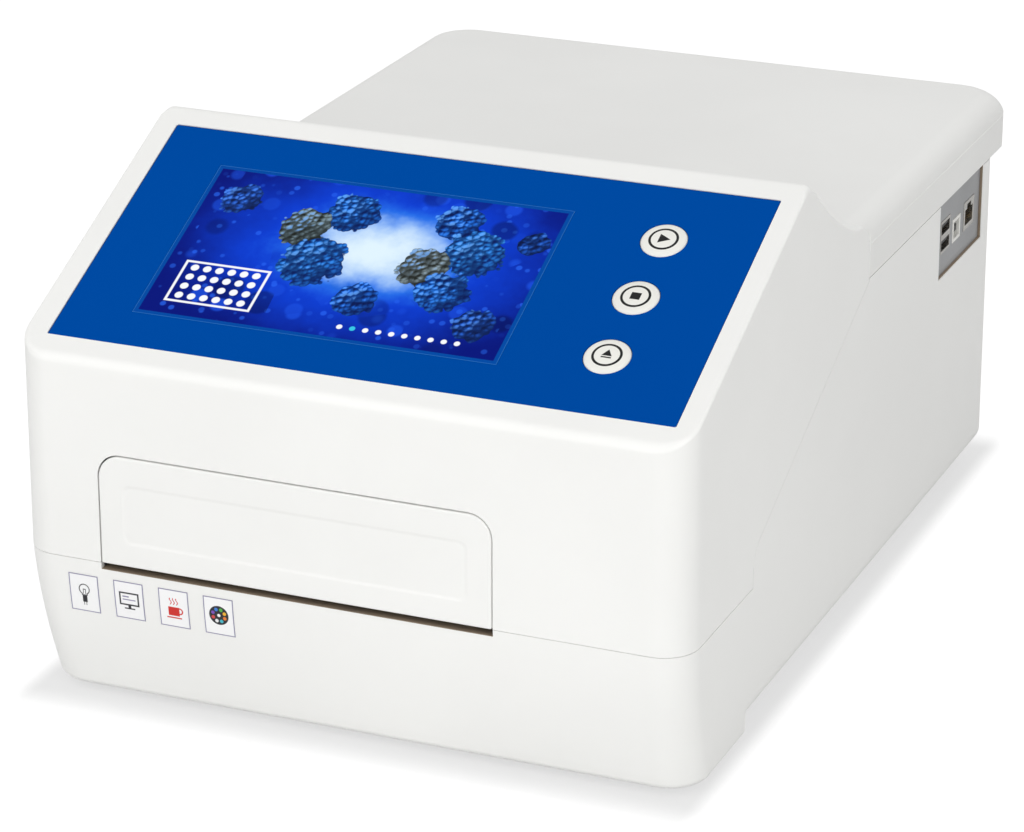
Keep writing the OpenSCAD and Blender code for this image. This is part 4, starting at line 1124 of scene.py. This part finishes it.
class READER_OT_labels(ReaderOperator, bpy.types.Operator):
    """Four small pictogram labels on the chin"""
    bl_idname = "reader.labels"
    bl_label = "Labels"

    def build(self):
        lefts = (-122.5 * MM, -102.1 * MM, -81.8 * MM, -61.7 * MM)
        for left, pictogram in zip(lefts, PICTOGRAMS):
            label = chart_grid(8)
            for vert in label.verts:
                z = 49.6 * MM + vert.co.y * LABEL_TALL * MM
                vert.co = (left + (vert.co.x + 0.5) * LABEL_WIDE * MM,
                           BASE_LOW.y + chin_recess(z) - 0.12 * MM, z)
            bmesh.ops.recalc_face_normals(label, faces=label.faces)
            for face in label.faces:
                if face.normal.y > 0:
                    face.normal_flip()
            make_piece(f"label_{pictogram}", label, "casing",
                       label_finish(f"label_{pictogram}_print", pictogram), "casing_white",
                       weld=False)


class READER_OT_ports(ReaderOperator, bpy.types.Operator):
    """Socket shells, their tongues and contacts, and the grey plate round them"""
    bl_idname = "reader.ports"
    bl_label = "Ports"

    def build(self):
        tin = drawn_metal("socket_tin", linear("c9c7c2"), 0.26)
        white = moulded("socket_white", linear("ecebe6"), 0.35)
        black = moulded("socket_black", linear("1b1b1c"), 0.4)
        gold = drawn_metal("contact_gold", linear("e0b765"), 0.25)
        plate = enamel("port_plate_coat", colours().port_plate[:])
        for node, paint, slot in (
                ("io_plate", plate, "port_plate_grey"), ("usb_stack", tin, "port_metal"),
                ("usb_b_port", white, "port_white"), ("network_port", tin, "port_metal")):
            dress(moulded_copy(node), "casing", paint, slot, 0.15 * MM, replaces=(node,))
        tongues, pins = bmesh.new(), bmesh.new()
        face, middle, board = self.socket(*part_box("usb_stack"))
        for rise in (1.3, 9.0):
            foot = board + rise * MM
            self.prong(face, 0.8, 13, middle, 5.6, foot, 2.9, 4.6, tongues)
            for i in range(4):
                self.prong(face, 1.4, 9, middle + (i - 1.5) * 2.4 * MM, 0.5, foot, 2.75, 2.95, pins)
        face, middle, board = self.socket(*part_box("usb_b_port"))
        self.prong(face, 1, 11, middle, 2.8, board, 3.8, 6.8, tongues)
        face, middle, board = self.socket(*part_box("network_port"))
        for i in range(8):
            self.prong(face, 2.5, 11, middle + (i - 3.5) * 1.27 * MM, 0.25, board, 2.6, 3.1, pins)
        make_piece("socket_tongues", tongues, "casing", black, "inlet_black", 0.12 * MM)
        make_piece("socket_contacts", pins, "casing", gold, "port_metal")

    def socket(self, low, high):
        """Face along X, middle along Y and foot of a socket between two corners."""
        return high.x, (low.y + high.y) / 2, low.z

    def prong(self, face, near, far, y, half, foot, low, high, bm):
        """A box behind a socket's face, from near to far, about y and over the foot."""
        box_of((face - far * MM, y - half * MM, foot + low * MM),
               (face - near * MM, y + half * MM, foot + high * MM), bm)


class READER_OT_rear(ReaderOperator, bpy.types.Operator):
    """Mains inlet with its pins, rocker, fan and guard on the rear wall"""
    bl_idname = "reader.rear"
    bl_label = "Rear Fittings"

    def build(self):
        black = moulded("inlet_plastic", linear("1a1a1b"), 0.45)
        paint_nodes({
            "power_inlet": black,
            "fan_frame": moulded("fan_plastic", linear("202122"), 0.5),
            "fan_rotor": moulded("fan_blade_plastic", linear("2a2b2c"), 0.4),
            "fan_guard": drawn_metal("guard_wire", linear("c4c6c8"), 0.22),
            "power_rocker": moulded("rocker_plastic", linear("151516"), 0.35)})
        pins = bmesh.new()
        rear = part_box("power_inlet")[1].y
        for x, z in ((-100.5, 42), (-89.5, 42), (-95, 46)):
            box_of(((x - 1) * MM, rear - 17 * MM, (z - 2) * MM),
                   ((x + 1) * MM, rear - 4 * MM, (z + 2) * MM), pins)
        make_piece("inlet_pins", pins, "casing", drawn_metal("pin_nickel", linear("d6d3cb"), 0.2),
                   "port_metal", 0.25 * MM)


def paint_nodes(finishes):
    """Gives CAD nodes their materials in place of the plain ones."""
    for node, paint in finishes.items():
        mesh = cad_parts[node].data
        mesh.materials.clear()
        mesh.materials.append(paint)


class READER_OT_carrier(ReaderOperator, bpy.types.Operator):
    """Plate tray on its rods, with its bushes, clamp and spring"""
    bl_idname = "reader.carrier"
    bl_label = "Plate Carrier"

    def build(self):
        steel = drawn_metal("ground_steel", linear("c9cbcd"), 0.18, (1, 8, 1))
        dress(moulded_copy("plate_carrier"), "carrier",
              moulded("tray_plastic", linear("3d3e42"), 0.45), "tray_plastic", 0.4 * MM,
              replaces=("plate_carrier",))
        paint_nodes({
            "carrier_bushes": drawn_metal("oiled_bronze", linear("a9824b"), 0.35),
            "plate_spring": drawn_metal("spring_leaf", linear("9aa0a6"), 0.22),
            "belt_clamp": drawn_metal("clamp_aluminium", linear("c8c9ca"), 0.32),
            "guide_rods": steel, "door_pin": steel,
            "rod_holders": drawn_metal("holder_aluminium", linear("bfc0c2"), 0.36)})


class READER_OT_drive(ReaderOperator, bpy.types.Operator):
    """Carrier motor, pulleys and toothed belt"""
    bl_idname = "reader.drive"
    bl_label = "Belt Drive"

    def build(self):
        pulley = drawn_metal("pulley_aluminium", linear("c6c7c9"), 0.28)
        paint_nodes({
            "drive_motor": enamel("motor_enamel", linear("1c1c1e"), 0.4),
            "drive_pulley": pulley, "idler_pulley": pulley,
            "idler_bracket": zinc("bracket_zinc", linear("b3ac98")),
            "drive_belt": ribbed("belt_rubber", linear("2b2b2c"), 1, 2.5 * MM)})


class READER_OT_optics(ReaderOperator, bpy.types.Operator):
    """Lamp, filter wheel, fibre bundle and reading bridge"""
    bl_idname = "reader.optics"
    bl_label = "Optics"

    def build(self):
        black = drawn_metal("black_anodised", linear("26272a"), 0.42)
        lens = clear("lens_glass", linear("eef8fb"))
        board = circuit("board_mask", linear("0f5a30"))
        paint_nodes({
            "optics_bridge": black, "filter_wheel": black,
            "channel_lenses": lens, "condenser_lens": lens,
            "fibre_bundle": ribbed("fibre_sleeve", linear("2a2a2d"), 1, 3 * MM, 0.4),
            "fibre_bracket": drawn_metal("bracket_aluminium", linear("bdbec0"), 0.34),
            "optical_filters": clear("filter_coating", linear("b78be0"), 0.05, 1.6, 0.5),
            "wheel_motor": enamel("wheel_motor_enamel", linear("232325"), 0.38),
            "lamp_housing": drawn_metal("lamp_house_aluminium", linear("cfcfcf"), 0.38, (1, 1, 6)),
            "halogen_lamp": clear("lamp_quartz", linear("fffaf0"), 0.02, 1.46),
            "lamp_socket": moulded("lamp_ceramic", linear("e6dfcf"), 0.7, 900.0, 0.2),
            "detector_board": board,
            "photodiodes": drawn_metal("diode_cans", linear("d0cdc4"), 0.24),
            "heater_plate": drawn_metal("heater_blasted", linear("b3a48f"), 0.5),
            "heater_posts": drawn_metal("post_aluminium", linear("c2c3c5"), 0.3)})


class READER_OT_electronics(ReaderOperator, bpy.types.Operator):
    """Power supply, boards, display carrier and key switches"""
    bl_idname = "reader.electronics"
    bl_label = "Electronics"

    def build(self):
        board = circuit("control_board_mask", linear("0d4f2c"))
        paint_nodes({
            "power_supply": zinc("supply_cage", linear("b9bbbd"), 90.0),
            "main_board": board, "interface_board": board, "button_board": board,
            "board_standoffs": drawn_metal("standoff_brass", linear("cdb27a"), 0.3),
            "lcd_module": enamel("display_rim", linear("0c0d10"), 0.3),
            "lcd_bracket": zinc("display_bracket_zinc", linear("b8b3a4")),
            "screen_window": clear("display_window", linear("f6fbff"), 0.0, 1.06),
            "key_switches": moulded("switch_plastic", linear("161617"), 0.5)})


class READER_OT_chassis(ReaderOperator, bpy.types.Operator):
    """Chassis plate, screws and feet"""
    bl_idname = "reader.chassis"
    bl_label = "Chassis and Feet"

    def build(self):
        screws = drawn_metal("screw_zinc", linear("bdbdb9"), 0.3)
        foot = soft_rubber("foot_rubber")
        paint_nodes({
            "chassis_plate": zinc("chassis_zinc", linear("9c8f76")),
            "chassis_screws": screws, "case_screws": screws,
            "front_feet": foot, "rear_feet": foot})


class READER_OT_stage(ReaderOperator, bpy.types.Operator):
    """Floor, light and camera"""
    bl_idname = "reader.stage"
    bl_label = "Stage"

    def build(self):
        scene = bpy.context.scene
        scene.view_settings.view_transform = "Standard"
        wide, thick = 40, 0.02
        ground = new_object("floor", slab(wide, wide, thick, matrix=Matrix.Translation(
            (-wide / 2, -wide / 2, -thick))))
        paper = Paint("floor_paper", roughness=0.9, specular_ior_level=0.1, emission_strength=0.9)
        seen = paper.node("ShaderNodeLightPath", out="Is Camera Ray")
        # painted shadow: the paper's glow darkens softly round the place where the reader stands
        x, y, _ = paper.parts(paper.place)
        across = (abs(x) - 142.2 * MM).most(0.0) * 2.3
        along = (abs(y + 5 * MM) - 201 * MM).most(0.0)
        glow = paper.blend((across * across + along * along).root().step(0.0, 27 * MM),
                           (0.7, 0.7, 0.7), (1.0, 1.0, 1.0))
        paper.feed(base_color=paper.blend(seen, (0.76, 0.76, 0.76), (0.2, 0.2, 0.2)),
                   emission_color=paper.blend(seen, (0.0, 0.0, 0.0), glow))
        ground.data.materials.append(paper.material)
        self.sky(scene)
        # name, place, size, power, warmth
        lamps = (("key_light", (-1.6, -2.2, 2.6), 2.2, 24.0, (1.0, 1.0, 0.99)),
                 ("front_light", (-0.3, -2.9, 0.9), 1.8, 17.8, (1.0, 1.0, 0.99)),
                 ("fill_light", (1.85, -1.25, 1.0), 1.2, 13.8, (1.0, 1.0, 0.99)),
                 ("back_light", (0.3, 2.6, 2.2), 2.4, 9.0, (1.0, 0.995, 0.98)))
        for name, place, size, power, shade in lamps:
            light = bpy.data.lights.new(name, "AREA")
            light.shape, light.size, light.energy, light.color = "SQUARE", size, power, shade
            lamp = bpy.data.objects.new(name, light)
            lamp.location = place
            aim = Vector((0, 0, 0.1)) - Vector(place)
            lamp.rotation_euler = aim.to_track_quat("-Z", "Y").to_euler()
            scene.collection.objects.link(lamp)
        view = bpy.data.cameras.new("camera")
        view.lens, view.sensor_width = 137.3, 36.0
        view.clip_end = 100
        camera = bpy.data.objects.new("camera", view)
        camera.location = (0.60205, -1.4867, 0.6916)
        camera.rotation_euler = (math.radians(90 - 21.29), 0, math.radians(22.63))
        scene.collection.objects.link(camera)
        scene.camera = camera

    def sky(self, scene):
        """Even light from all round, seen as white by the camera, in gloss and through glass."""
        world = bpy.data.worlds.new("studio")
        scene.world = world
        world.use_nodes = True
        tree = world.node_tree
        light, white = tree.nodes["Background"], tree.nodes.new("ShaderNodeBackground")
        for node, strength in ((light, 0.55), (white, 1.0)):
            node.inputs["Color"].default_value = (1.0, 1.0, 1.0, 1.0)
            node.inputs["Strength"].default_value = strength
        path = tree.nodes.new("ShaderNodeLightPath")
        seen = path.outputs["Is Camera Ray"]
        for ray in ("Is Glossy Ray", "Is Transmission Ray"):
            either = tree.nodes.new("ShaderNodeMath")
            either.operation = "MAXIMUM"
            tree.links.new(seen, either.inputs[0])
            tree.links.new(path.outputs[ray], either.inputs[1])
            seen = either.outputs[0]
        mix = tree.nodes.new("ShaderNodeMixShader")
        sky = tree.nodes["World Output"].inputs["Surface"]
        for source, socket in ((seen, mix.inputs["Fac"]), (light.outputs[0], mix.inputs[1]),
                               (white.outputs[0], mix.inputs[2]), (mix.outputs[0], sky)):
            tree.links.new(source, socket)


BUILD_ORDER = (
    READER_OT_front_cover, READER_OT_base_case, READER_OT_lid, READER_OT_plate_door, READER_OT_keys,
    READER_OT_display, READER_OT_labels, READER_OT_ports, READER_OT_rear, READER_OT_carrier,
    READER_OT_drive, READER_OT_optics, READER_OT_electronics, READER_OT_chassis, READER_OT_stage)


class READER_PT_panel(bpy.types.Panel):
    """Lists the steps that build the reader"""
    bl_idname = "READER_PT_panel"
    bl_label = "Microplate Reader"
    bl_space_type = "VIEW_3D"
    bl_region_type = "UI"
    bl_category = "Reader"

    def draw(self, context):
        for step in BUILD_ORDER:
            self.layout.operator(step.bl_idname)
        for group in (context.scene.reader_sizes, context.scene.reader_colours):
            for name in group.__annotations__:
                self.layout.prop(group, name)


CLASSES = (ReaderSizes, ReaderColours, *BUILD_ORDER, READER_PT_panel)


def register():
    for item in CLASSES:
        bpy.utils.register_class(item)
    bpy.types.Scene.reader_sizes = PointerProperty(type=ReaderSizes)
    bpy.types.Scene.reader_colours = PointerProperty(type=ReaderColours)


def unregister():
    del bpy.types.Scene.reader_sizes
    del bpy.types.Scene.reader_colours
    for item in reversed(CLASSES):
        bpy.utils.unregister_class(item)


def main():
    register()
    for step in BUILD_ORDER:
        group, name = step.bl_idname.split(".")
        getattr(getattr(bpy.ops, group), name)()


if __name__ == "__main__":
    main()
